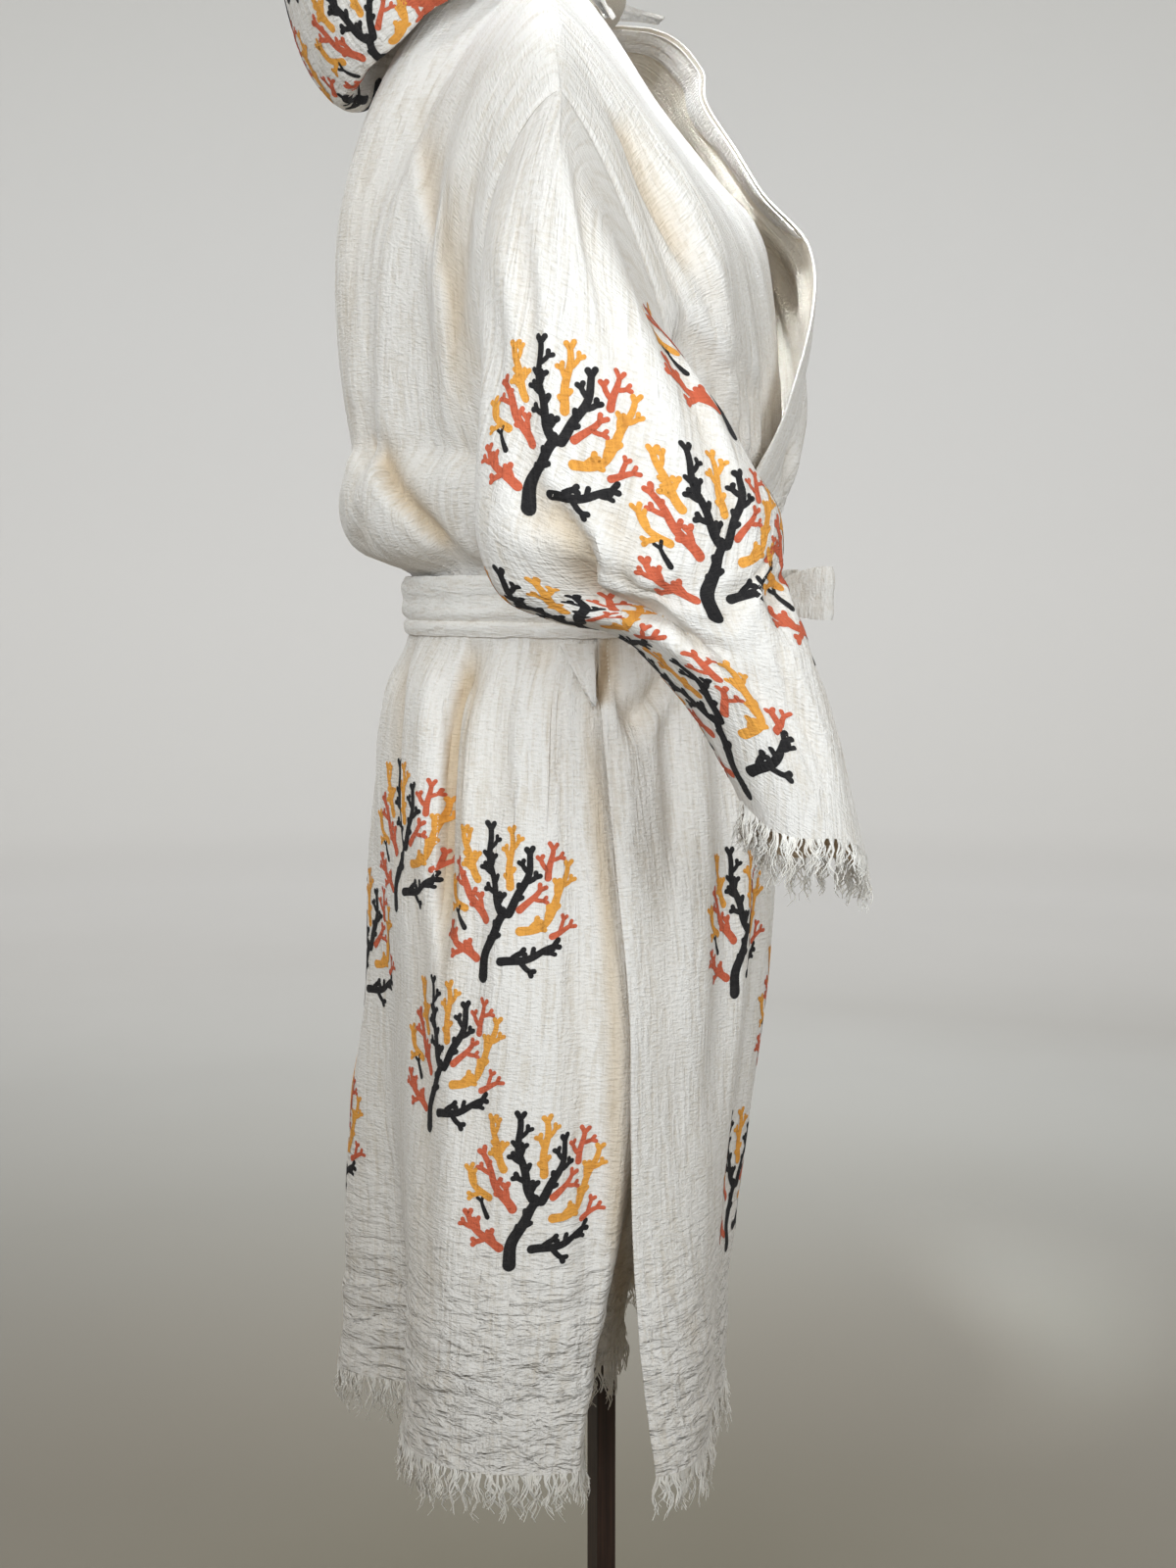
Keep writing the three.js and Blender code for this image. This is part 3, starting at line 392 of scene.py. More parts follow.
def hood_point(u, v):
    seam = neckline(u) + (0, 0, HOOD_LIFT)
    rim = points(*read(RIM, u))
    across, drop, rise = read(HOOD_SECTION, v)
    p = seam + (rim - seam) * across[..., None]
    depth = HOOD_DEPTH * bell((u - 0.5) / 0.42) ** 1.3
    p[..., 2] += rise * np.sin(np.pi * u) - depth * drop
    return p


# ---- Cloth as it hangs: creases, crinkle and seams ----
# Creases of the robe's right side, as lines of (y, z): half width, depth (a ridge is below 0), the line.
SIDE_CREASES = (
    (11, 4, ((76, 1300), (96, 1228), (108, 1147), (112, 1090))),
    (9, 3, ((90, 1176), (99, 1101), (94, 1034))),
    (9, 4, ((151, 1040), (120, 1010), (92, 990))),
    (10, 4, ((191, 1130), (186, 1090), (162, 1057))),
    (14, -4, ((185, 1070), (165, 1030), (140, 1003))),
    (9, 4, ((-12, 1310), (-40, 1235), (-70, 1180), (-88, 1150))),
    (9, 5, ((-40, 1165), (-82, 1128), (-86, 1090))),
    (8, 5, ((-105, 1140), (-107, 1100), (-94, 1070))),
    (7, 3, ((-2, 1290), (-38, 1210), (-62, 1160))),
    (8, 4, ((-88, 1150), (-98, 1118), (-90, 1080))),
    (8, 6, ((36, 948), (40, 934), (44, 918))),
    (7, 6, ((-20, 882), (-30, 898), (-44, 920))),
    (9, -3, ((124, 944), (127, 900), (126, 850))),
    (9, 4, ((149, 864), (138, 730), (132, 569), (132, 385))),
    (8, 3, ((-4, 915), (-6, 843), (-9, 774), (-12, 700))),
    (7, 6, ((-9, 925), (-14, 900), (-23, 868))),
    (7, 4, ((-48, 930), (-36, 900), (-22, 868))),
    (10, 4, ((-88, 952), (-76, 925), (-58, 905))),
    (9, 2.5, ((67, 930), (72, 860), (68, 770))),
    (9, 2.5, ((40, 930), (36, 880), (30, 825))),
    (12, 2, ((-46, 850), (-44, 703), (-52, 560))),
    (12, 2, ((20, 760), (24, 640), (18, 500))),
    (12, 2, ((92, 700), (86, 600), (92, 470))),
    (8, 2.5, ((95, 946), (92, 915), (96, 880))),
)
# Folds of the right side whose cloth lies over its neighbour: how wide the shaded side is, depth, the line.
# Seen along the line the shaded side is the right one.
SIDE_LAPS = (
    (12, 8, ((94, 954), (103, 922), (107, 900), (112, 866), (114, 833), (116, 790), (118, 730), (118, 640))),
    (9, 3.5, ((148, 740), (154, 820), (153, 877), (148, 918), (134, 954))),
    (10, 8, ((-1, 957), (0, 927), (4, 908), (5, 896))),
    (16, 4.5, ((137, 1340), (130, 1290), (123, 1245), (116, 1211), (110, 1176), (106, 1130), (106, 1080))),
    (14, 9, ((177, 1098), (154, 1049), (129, 1016), (104, 992))),
    (10, 5, ((0, 1300), (-14, 1276), (-28, 1244), (-46, 1210), (-62, 1180))),
)
# Creases of the front, as lines of (x, z).
FRONT_CREASES = (
    (10, 4, ((-20, 1230), (0, 1160), (10, 1090))),
    (12, 5, ((70, 1330), (60, 1230), (30, 1130), (0, 1030))),
    (9, 4, ((150, 1290), (120, 1200), (80, 1110), (60, 1030))),
    (8, 4, ((-60, 1150), (-30, 1080), (-20, 1010))),
    (9, 4, ((-20, 940), (-8, 880), (-12, 800))),
    (8, 4, ((40, 942), (50, 890), (46, 820))),
    (9, 3, ((90, 940), (100, 880), (98, 800))),
    (8, 4, ((-80, 942), (-70, 900), (-74, 850))),
    (14, 3, ((0, 800), (6, 640), (-4, 480))),
    (14, 3, ((80, 760), (86, 600), (80, 450))),
)
# Creases of the back, as lines of (x, z).
BACK_CREASES = (
    (12, 5, ((0, 1400), (6, 1280), (0, 1150))),
    (10, 4, ((60, 1380), (70, 1260), (50, 1120), (40, 1040))),
    (10, 4, ((-64, 1370), (-70, 1250), (-56, 1120), (-40, 1040))),
    (9, 6, ((-110, 1060), (-70, 1020), (-30, 994))),
    (9, 6, ((120, 1070), (80, 1024), (40, 994))),
    (9, 5, ((10, 1060), (0, 1020), (-6, 994))),
    (9, 4, ((30, 944), (26, 880), (34, 790))),
    (9, 4, ((-34, 944), (-30, 860), (-38, 760))),
    (12, 3, ((90, 940), (96, 760), (90, 600))),
    (12, 3, ((0, 840), (-4, 640), (4, 450))),
)
# Creases of a sleeve, as lines of (degrees round, section): half width in degrees, depth.
SLEEVE_CREASES = (
    (7, 4, ((60, 0.6), (52, 3), (44, 5.5), (40, 7.5))),
    (6, 3, ((20, 0.5), (14, 2.5), (8, 5), (8, 7.6))),
    (7, 3.5, ((-30, 1), (-34, 3), (-38, 5.4), (-40, 7))),
    (7, 4, ((24, 6.6), (-8, 7.8), (-24, 8.6))),
    (7, 4.5, ((62, 7), (34, 8.1), (12, 9.2))),
    (6, 4, ((92, 7.8), (70, 8.4), (52, 9.4))),
    (6, 4, ((-10, 8.6), (-15, 9.6), (-8, 10.6))),
    (5, 3, ((40, 9.4), (32, 10.6), (34, 12.4))),
    (5, 3, ((8, 9.8), (4, 11), (10, 12.6))),
    (6, 3, ((-22, 6.2), (-12, 7.2), (4, 8.2))),
    (7, 3, ((88, 9.6), (76, 11), (74, 12.6))),
    (8, 4, ((-150, 1), (-146, 3), (-140, 6))),
    (7, 4, ((150, 7.4), (160, 8.6), (158, 10))),
    (7, 4, ((-110, 6), (-114, 8), (-108, 11))),
)
# The elbow's overlap, where the forearm's cloth lies over the bag behind it, and two smaller ones.
SLEEVE_LAPS = (
    (15, 9, ((-50, 8.2), (-38, 7.3), (-21, 6.65), (-18, 6.15), (-22, 5.85), (-28, 5.55), (-38, 5.2))),
    (10, 2, ((68, 6.8), (52, 7.6), (50, 8.4), (50, 9.6))),
    (8, 3, ((-8, 5.2), (-6, 6.2), (-14, 7.4), (-30, 8.6))),
)
LAP_STEP = 5  # how wide an overlap's edge is
SECTION_DEGREES = 36  # a section's length along the sleeve, in degrees round it


def line_field(x, y, line, ratio):
    """Of a drawn line at a field of points: distance, share along it, and 1 on its right side or -1 on its left."""
    line = np.array(line, float)
    best = np.full(x.shape, 1e9)
    along = np.zeros(x.shape)
    side = np.zeros(x.shape)
    spans = len(line) - 1
    for k in range(spans):
        a, d = line[k], line[k + 1] - line[k]
        dx, dy = x - a[0], (y - a[1]) * ratio
        length = d[0] ** 2 + (d[1] * ratio) ** 2
        t = np.clip((dx * d[0] + dy * d[1] * ratio) / length, 0, 1)
        away = np.hypot(dx - t * d[0], dy - t * d[1] * ratio)
        near = away < best
        best = np.where(near, away, best)
        along = np.where(near, (k + t) / spans, along)
        side = np.where(near, np.sign(dx * d[1] * ratio - dy * d[0]), side)
    return best, along, side


def crease_depth(x, y, creases, ratio=1.0):
    """How far a field of points lies inwards of plain cloth, from lines drawn on it. ratio is y's size over x's."""
    total = np.zeros(x.shape)
    for number, (half, depth, line) in enumerate(creases):
        best, along, side = line_field(x, y, line, ratio)
        q = best / half * (1 + 0.3 * side * (-1) ** number)
        ends = soft(along / 0.3) * soft((1 - along) / 0.35)
        total += depth * ends * (np.exp(-q * q) - 0.3 * np.exp(-((q - 1.8) ** 2) * 1.6))
    return total


def lap_depth(x, y, laps, ratio=1.0):
    """The same for folds that lie over their neighbour: a sharp step down, then a slow rise."""
    total = np.zeros(x.shape)
    for reach, depth, line in laps:
        best, along, side = line_field(x, y, line, ratio)
        away = best * side
        below = np.where(away > 0, np.exp(-((away / reach) ** 2)), soft(1 + away / LAP_STEP))
        lip = 0.22 * np.exp(-(((away + 7) / 5) ** 2))
        total += depth * soft(along / 0.22) * soft((1 - along) / 0.3) * (below - lip)
    return total


def lengths_along(grid, axis):
    step = np.linalg.norm(np.diff(grid, axis=axis), axis=-1)
    zero = np.zeros_like(np.take(step, [0], axis))
    return np.concatenate([zero, np.cumsum(step, axis)], axis)


def crinkle(u, v):
    """The muslin's own relief, in mm: wandering ribs along the cloth."""
    drift = 6 * noise(u / 60, v / 90, 1) + 3 * noise(u / 25, v / 60, 2)
    fine = noise((u + drift) / 5.5, v / 46, 3)
    broad = noise((u + drift) / 12, v / 90, 4)
    patch = 0.65 + 0.35 * noise(u / 70, v / 110, 5)
    return (0.4 * fine + 0.8 * broad) * patch + 1.9 * noise(u / 48, v / 120, 6)


def seam_groove(distance):
    return 1.7 * np.exp(-((distance / 2.6) ** 2))


def edge_distances(grid):
    """Distance along the cloth from each of a grid's sides: first column, last column, last row."""
    across, along = lengths_along(grid, 1), lengths_along(grid, 0)
    return across, across[:, -1:] - across, along[-1:] - along


# ---- Scene helpers ----
def new_object(name, verts, faces, uv=None, material=None, sharp=50.0, wrap=None):
    mesh = bpy.data.meshes.new(name)
    mesh.from_pydata((np.asarray(verts) * MM).tolist(), [], faces)
    mesh.polygons.foreach_set("use_smooth", np.ones(len(mesh.polygons), bool))
    if uv is not None:
        corner = np.empty(len(mesh.loops), np.int32)
        mesh.loops.foreach_get("vertex_index", corner)
        corner_uv = np.asarray(uv)[corner]
        if wrap:
            start, count = (np.empty(len(mesh.polygons), np.int32) for _ in range(2))
            mesh.polygons.foreach_get("loop_start", start)
            mesh.polygons.foreach_get("loop_total", count)
            widest = np.repeat(np.maximum.reduceat(corner_uv[:, 0], start), count)
            corner_uv[:, 0] += wrap * (widest - corner_uv[:, 0] > wrap / 2)
        layer = mesh.uv_layers.new(name="UVMap")
        layer.data.foreach_set("uv", (corner_uv * MM).astype(np.float32).ravel())
    if sharp:
        mesh.set_sharp_from_angle(angle=math.radians(sharp))
    mesh.update()
    obj = bpy.data.objects.new(name, mesh)
    bpy.context.collection.objects.link(obj)
    if material is not None:
        mesh.materials.append(material)
    return obj


def quads(rows, columns, ring=False, start=0, flip=False):
    i, j = np.meshgrid(np.arange(rows - 1), np.arange(columns if ring else columns - 1), indexing="ij")
    k = (j + 1) % columns
    a, b, c, d = i * columns + j, i * columns + k, (i + 1) * columns + k, (i + 1) * columns + j
    face = np.stack([a, d, c, b] if flip else [a, b, c, d], -1).reshape(-1, 4) + start
    return face.tolist()


def wall_behind(move, ring=False):
    """The cloth's thickness where its outer face is moved, more beside sharp folds, so its inner face stays behind."""
    lowest = move
    for axis in (0, 1):
        for shift in (1, -1, 1, -1):
            rolled = np.roll(lowest, shift, axis)
            if axis == 0 or not ring:
                edge = 0 if shift > 0 else -1
                if axis == 0:
                    rolled[edge] = lowest[edge]
                else:
                    rolled[:, edge] = lowest[:, edge]
            lowest = np.minimum(lowest, rolled)
    return WALL + np.maximum(move - lowest - 1.2, 0)


def shell(name, grid, uv, material, ring=False, wall=WALL, inside=None, plain=None, fold=None):
    """A thin closed cloth: a fine outer face and a coarser inner one. fold gives, at each point, how strongly painted
    shade tints the cloth deep in creases and overlaps.
    """
    rows, columns = grid.shape[:2]
    wall = np.broadcast_to(wall, (rows, columns))[..., None]
    inner = (grid - wall * normals_of(grid if plain is None else plain, ring))[::2, ::2]
    r, c = inner.shape[:2]
    verts = np.concatenate([grid.reshape(-1, 3), inner.reshape(-1, 3)])
    uvs = np.concatenate([uv.reshape(-1, 2), uv[::2, ::2].reshape(-1, 2)])
    faces = quads(rows, columns, ring) + quads(r, c, ring, rows * columns, flip=True)
    out = lambda i, j: i * columns + j % columns
    into = lambda i, j: rows * columns + i * c + j % c
    for j in range(c if ring else c - 1):
        faces.append([out(0, 2 * j + 2), out(0, 2 * j + 1), out(0, 2 * j), into(0, j), into(0, j + 1)])
        last = rows - 1
        faces.append([out(last, 2 * j), out(last, 2 * j + 1), out(last, 2 * j + 2), into(r - 1, j + 1), into(r - 1, j)])
    if not ring:
        for i in range(r - 1):
            faces.append([out(2 * i, 0), out(2 * i + 1, 0), out(2 * i + 2, 0), into(i + 1, 0), into(i, 0)])
            last = columns - 1
            faces.append(
                [out(2 * i + 2, last), out(2 * i + 1, last), out(2 * i, last), into(i, c - 1), into(i + 1, c - 1)]
            )
    obj = new_object(name, verts, faces, uvs, material, wrap=uv[0, :, 0].max() + STEP if ring else None)
    if inside is not None:
        obj.data.materials.append(inside)
        outer_count = (rows - 1) * (columns if ring else columns - 1)
        inner_count = (r - 1) * (c if ring else c - 1)
        index = np.zeros(len(faces), np.int32)
        index[outer_count:outer_count + inner_count] = 1
        obj.data.polygons.foreach_set("material_index", index)
    if fold is not None:
        layer = obj.data.attributes.new("fold", "FLOAT", "POINT")
        layer.data.foreach_set("value", np.concatenate([fold.ravel(), fold[::2, ::2].ravel()]).astype(np.float32))
    return obj


def finish_piece(obj, slot, *nodes):
    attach(obj, "root")
    if nodes:
        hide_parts(*nodes)


# ---- Materials ----
def blank(name):
    material = bpy.data.materials.new(name)
    material.use_nodes = True
    nodes = material.node_tree.nodes
    return material, nodes, material.node_tree.links, nodes["Principled BSDF"]


def noise_node(nodes, links, source, scale, detail=3.0, rough=0.55, distortion=0.0):
    """A noise texture over a source vector, with its own scale for each direction."""
    mapping = nodes.new("ShaderNodeMapping")
    mapping.inputs["Scale"].default_value = scale
    texture = nodes.new("ShaderNodeTexNoise")
    texture.inputs["Scale"].default_value = 1.0
    texture.inputs["Detail"].default_value = detail
    texture.inputs["Roughness"].default_value = rough
    texture.inputs["Distortion"].default_value = distortion
    links.new(source, mapping.inputs["Vector"])
    links.new(mapping.outputs["Vector"], texture.inputs["Vector"])
    return texture.outputs["Fac"]


def ramp_node(nodes, links, source, stops):
    ramp = nodes.new("ShaderNodeValToRGB")
    ramp.color_ramp.elements[0].position, ramp.color_ramp.elements[1].position = stops[0][0], stops[-1][0]
    for position, _ in stops[1:-1]:
        ramp.color_ramp.elements.new(position)
    for element, (_, color) in zip(ramp.color_ramp.elements, stops):
        element.color = (*color, 1)
    links.new(source, ramp.inputs["Fac"])
    return ramp.outputs["Color"]


def mix_value(nodes, links, a, b, share):
    node = nodes.new("ShaderNodeMix")
    node.inputs[0].default_value = share
    links.new(a, node.inputs[2])
    links.new(b, node.inputs[3])
    return node.outputs[0]


FOLD_PAINTED_SHADE = (0.80, 0.68, 0.52)  # painted shade: a warm tan multiplied into the cloth's colour deep in creases and overlaps, standing in for the shade there and light seen through the cloth


def muslin(name, pale, deep, ribs=(230, 26, 1), weft=(150, 520, 1), turn=0.0, hem=0.0, depth=0.0042, sheen=0.15):
    """Crinkled cotton gauze: soft ribs along the cloth, a fine wavy weft, a pebbly face and faint slubs. Its colour
    runs from pale to deep with the crinkle's height, which paints shade into the hollows, and with patches and slubs of
    its own tone; painted shade is also multiplied in deep in creases and overlaps.
    """
    material, nodes, links, shader = blank(name)
    mapping = nodes.new("ShaderNodeMapping")
    mapping.inputs["Rotation"].default_value = (0, 0, math.radians(turn))
    links.new(nodes.new("ShaderNodeTexCoord").outputs["UV"], mapping.inputs["Vector"])
    uv = mapping.outputs["Vector"]
    rib = noise_node(nodes, links, uv, ribs, 3, 0.5, 0.6)
    line = noise_node(nodes, links, uv, weft, 2, 0.5, 0.5)
    pebble = noise_node(nodes, links, uv, (640, 520, 1), 2, 0.6)
    fine = mix_value(nodes, links, line, pebble, 0.35)
    height = mix_value(nodes, links, rib, fine, 0.5)
    bump = nodes.new("ShaderNodeBump")
    bump.inputs["Strength"].default_value = 0.9
    bump.inputs["Distance"].default_value = depth
    links.new(height, bump.inputs["Height"])
    normal = bump.outputs["Normal"]
    if hem:
        normal = hem_puckers(nodes, links, uv, normal, hem)
    links.new(normal, shader.inputs["Normal"])
    patches = noise_node(nodes, links, uv, (34, 9, 1), 3, 0.6)
    slubs = noise_node(nodes, links, uv, (900, 14, 1), 2, 0.5)
    # painted shade: the crinkle's height darkens its hollows towards the deep colour; the patches and slubs are the
    # cloth's own tone
    tone = mix_value(nodes, links, height, mix_value(nodes, links, patches, slubs, 0.45), 0.3)
    color = ramp_node(nodes, links, tone, [(0.38, deep), (0.52, pale)])
    # painted shade: the fold attribute multiplies a warm tan into the colour deep in creases and overlaps
    fold = nodes.new("ShaderNodeAttribute")
    fold.attribute_name = "fold"
    fold_shade_mix = nodes.new("ShaderNodeMix")
    fold_shade_mix.data_type = "RGBA"
    fold_shade_mix.blend_type = "MULTIPLY"
    links.new(fold.outputs["Fac"], fold_shade_mix.inputs[0])
    links.new(color, fold_shade_mix.inputs[6])
    fold_shade_mix.inputs[7].default_value = (*FOLD_PAINTED_SHADE, 1)
    links.new(fold_shade_mix.outputs[2], shader.inputs["Base Color"])
    shader.inputs["Roughness"].default_value = 0.92
    shader.inputs["Sheen Weight"].default_value = sheen
    shader.inputs["Sheen Roughness"].default_value = 0.5
    return material


def hem_puckers(nodes, links, uv, normal, reach):
    """Small sideways puckers that fade out above the hem."""
    split = nodes.new("ShaderNodeSeparateXYZ")
    links.new(uv, split.inputs["Vector"])
    fade = nodes.new("ShaderNodeMapRange")
    fade.inputs["From Min"].default_value = 0.25 * reach
    fade.inputs["From Max"].default_value = reach
    fade.inputs["To Min"].default_value = 1.0
    fade.inputs["To Max"].default_value = 0.0
    links.new(split.outputs["Y"], fade.inputs["Value"])
    bump = nodes.new("ShaderNodeBump")
    bump.inputs["Distance"].default_value = 0.010
    links.new(fade.outputs["Result"], bump.inputs["Strength"])
    links.new(noise_node(nodes, links, uv, (46, 128, 1), 3, 0.55, 0.8), bump.inputs["Height"])
    links.new(normal, bump.inputs["Normal"])
    return bump.outputs["Normal"]


# the second colour is the muslin's darker tone in patches and slubs and the painted shade in its crinkle's hollows
PALE, DEEP_TONE_AND_SHADE = (0.89, 0.835, 0.765), (0.73, 0.65, 0.545)
cloth_material = muslin("muslin", PALE, DEEP_TONE_AND_SHADE, hem=0.24)
sleeve_material = muslin("muslin_sleeve", PALE, DEEP_TONE_AND_SHADE, turn=24)
# painted shade: a warmer copy of the muslin for the left front's inner face, standing in for light seen through the
# cloth and its warm shade
front_inside_painted_shade_material = muslin("muslin_front_inside_painted_shade", (0.92, 0.83, 0.69), (0.80, 0.69, 0.53))
# painted shade: a deeper, warmer copy of the muslin for inner faces, standing in for the dark warm shade inside the
# robe
inside_painted_shade_material = muslin("muslin_inside_painted_shade", (0.80, 0.63, 0.44), (0.62, 0.45, 0.28))
# painted light: the belt's copy of the muslin is made paler to offset the shade it sits in under the blouse; its ribs
# run across
belt_painted_light_material = muslin("muslin_belt_painted_light", (0.93, 0.88, 0.81), (0.78, 0.70, 0.60), ribs=(40, 230, 1))
black_ink = muslin("ink_black", (0.012, 0.010, 0.010), (0.03, 0.026, 0.024), sheen=0.0)
ochre_ink = muslin("ink_ochre", (0.86, 0.38, 0.06), (0.66, 0.26, 0.04), sheen=0.0)
rust_ink = muslin("ink_rust", (0.66, 0.135, 0.06), (0.48, 0.085, 0.035), sheen=0.0)


def thread_material():
    material, nodes, links, shader = blank("thread")
    place = nodes.new("ShaderNodeTexCoord").outputs["Object"]
    tone = noise_node(nodes, links, place, (140, 140, 60), 2, 0.5)
    color = ramp_node(nodes, links, tone, [(0.3, (0.90, 0.83, 0.73)), (0.6, (0.96, 0.91, 0.83))])
    links.new(color, shader.inputs["Base Color"])
    bump = nodes.new("ShaderNodeBump")
    bump.inputs["Strength"].default_value = 0.6
    bump.inputs["Distance"].default_value = 0.0004
    links.new(noise_node(nodes, links, place, (900, 900, 1800), 2), bump.inputs["Height"])
    links.new(bump.outputs["Normal"], shader.inputs["Normal"])
    shader.inputs["Roughness"].default_value = 0.9
    shader.inputs["Sheen Weight"].default_value = 0.2
    return material


thread = thread_material()


def linen_material():
    material, nodes, links, shader = blank("form_linen")
    place = nodes.new("ShaderNodeTexCoord").outputs["Object"]
    across = noise_node(nodes, links, place, (260, 260, 2400), 2, 0.6)
    along = noise_node(nodes, links, place, (2200, 2200, 240), 2, 0.6)
    height = mix_value(nodes, links, across, along, 0.5)
    bump = nodes.new("ShaderNodeBump")
    bump.inputs["Strength"].default_value = 0.7
    bump.inputs["Distance"].default_value = 0.0006
    links.new(height, bump.inputs["Height"])
    links.new(bump.outputs["Normal"], shader.inputs["Normal"])
    color = ramp_node(nodes, links, height, [(0.36, (0.42, 0.35, 0.26)), (0.62, (0.62, 0.54, 0.43))])
    links.new(color, shader.inputs["Base Color"])
    shader.inputs["Roughness"].default_value = 0.88
    shader.inputs["Sheen Weight"].default_value = 0.15
    return material


def lacquer_material():
    material, nodes, links, shader = blank("dark_lacquer")
    place = nodes.new("ShaderNodeTexCoord").outputs["Object"]
    grain = noise_node(nodes, links, place, (420, 420, 9), 4, 0.6, 0.4)
    wear = noise_node(nodes, links, place, (30, 30, 22), 4, 0.65)
    color = ramp_node(nodes, links, grain, [(0.3, (0.018, 0.010, 0.008)), (0.55, (0.045, 0.022, 0.015)), (0.75, (0.085, 0.042, 0.026))])
    links.new(color, shader.inputs["Base Color"])
    rough = nodes.new("ShaderNodeMapRange")
    rough.inputs["To Min"].default_value = 0.22
    rough.inputs["To Max"].default_value = 0.5
    links.new(wear, rough.inputs["Value"])
    links.new(rough.outputs["Result"], shader.inputs["Roughness"])
    bump = nodes.new("ShaderNodeBump")
    bump.inputs["Strength"].default_value = 0.35
    bump.inputs["Distance"].default_value = 0.0004
    links.new(mix_value(nodes, links, grain, wear, 0.4), bump.inputs["Height"])
    links.new(bump.outputs["Normal"], shader.inputs["Normal"])
    return material


# ---- Body panels ----
body = {name: panel_grid(name) for name in ("front_left", "back", "front_right")}
ORDER = ("front_left", "back", "front_right")
counts = [body[name].shape[1] for name in ORDER]
ring_rows = len(Z_ROWS)
# U runs on from panel to panel round the robe at the height of the hips, V runs up from the hem.
row = ring_rows // 2
u_start = 0.0
surface = {}
for name in ORDER:
    base = body[name]
    u = lengths_along(base[row:row + 1], 1)[0] + u_start
    u_start = u[-1]
    v = lengths_along(base[:, base.shape[1] // 2:base.shape[1] // 2 + 1], 0)[:, 0]
    uu, vv = np.meshgrid(u, v)
    first, last, top = edge_distances(base)
    x, y, z = np.moveaxis(base, -1, 0)
    normal = normals_of(base)
    near_right = soft((-normal[..., 0] - 0.05) / 0.4)
    near_left = soft((normal[..., 0] - 0.05) / 0.4)
    laps = near_right * lap_depth(y, z, SIDE_LAPS)
    depth = near_right * crease_depth(y, z, SIDE_CREASES)
    depth += near_left * 0.9 * crease_depth(y * 1.05 - 4, z + 14, SIDE_CREASES[1:])
    depth += soft((-normal[..., 1] - 0.3) / 0.4) * crease_depth(x, z, FRONT_CREASES)
    depth += soft((normal[..., 1] - 0.3) / 0.4) * crease_depth(x, z, BACK_CREASES)
    # painted shade: how deep each point lies in an overlap or crease, which tints its colour
    fold = np.clip(laps / 7, 0, 1) + 0.3 * np.clip(depth / 7, 0, 1)
    # painted shade: a strip beside the left front's free edge, where the underlap lies in its shadow
    if name == "front_right":
        free_y = ring_point(read(EDGES, z)[0], z)[..., 1]
        fold += 0.75 * near_right * bell((y - free_y - 9) / 12) * soft((930 - z) / 120)
    depth += laps
    gathers = 2.2 * noise(uu / 13, vv / 150, 11) + 1.6 * noise(uu / 24, vv / 200, 12)
    about_belt = np.exp(-(((z - WAIST) / 75) ** 2)) * soft((np.abs(z - WAIST) - 18) / 16)
    hem = soft((HEM + 200 - z) / 160) * (z < CHEST)
    arcs = 2.0 * noise(uu / 58, (vv + 9 * noise(uu / 50, vv / 60, 21)) / 15, 22)
    relief = crinkle(uu, vv) * (1 - 0.4 * hem) + gathers * about_belt + arcs * hem
    under_belt = soft((np.abs(z - WAIST) - 20) / 8)
    move = (relief - depth) * under_belt
    upper = soft((z - CHEST) / 20)
    if name == "back":
        open_first = open_last = 0.0
        grooves = seam_groove(first) * (0.35 + 0.65 * upper) + seam_groove(last) * (0.35 + 0.65 * upper)
        seam_top = np.abs(x) > 80
    elif name == "front_left":
        open_first, open_last = 1.0, 0.0
        grooves = seam_groove(last) * (0.35 + 0.65 * upper)
        seam_top = np.ones(x.shape, bool)
    else:
        open_first, open_last = 0.0, 1.0
        grooves = seam_groove(first) * (0.35 + 0.65 * upper)
        seam_top = np.ones(x.shape, bool)
    held = soft(first / 14 + open_first) * soft(last / 14 + open_last) * soft(top / 14)
    grooves = grooves + np.where(seam_top, 1, 0.3) * seam_groove(top)
    band = open_first * soft((9 - first) / 3) + open_last * soft((9 - last) / 3)
    move = move * held - grooves + 0.7 * band
    grid = base + normal * move[..., None]
    surface[name] = dict(base=base, u=uu, v=vv, grid=grid, wall=wall_behind(move), fold=np.clip(fold, 0, 1))
    surface[name]["normal"] = normals_of(surface[name]["grid"])

cloths = {}
for name in ORDER:
    part = surface[name]
    uv = np.stack([part["u"], part["v"]], -1)
    inside = front_inside_painted_shade_material if name == "front_left" else inside_painted_shade_material
    cloths[name] = shell(
        name + "_cloth", part["grid"], uv, cloth_material, wall=part["wall"], inside=inside,
        plain=part["base"], fold=part["fold"],
    )
    finish_piece(cloths[name], "muslin", name)

# ---- Sleeves ----
s_rows = np.linspace(0, 13, even(560, RISE) + 1)
round_columns = 180 - 360 * np.arange(even(430, STEP)) / even(430, STEP)
ss, rr = np.meshgrid(s_rows, round_columns % 360, indexing="ij")
sleeve_base = section_point(ss, rr)
sleeve_base[0] = sleeve_base[0] + 0.5 * unit(sleeve_base[1] - sleeve_base[0])


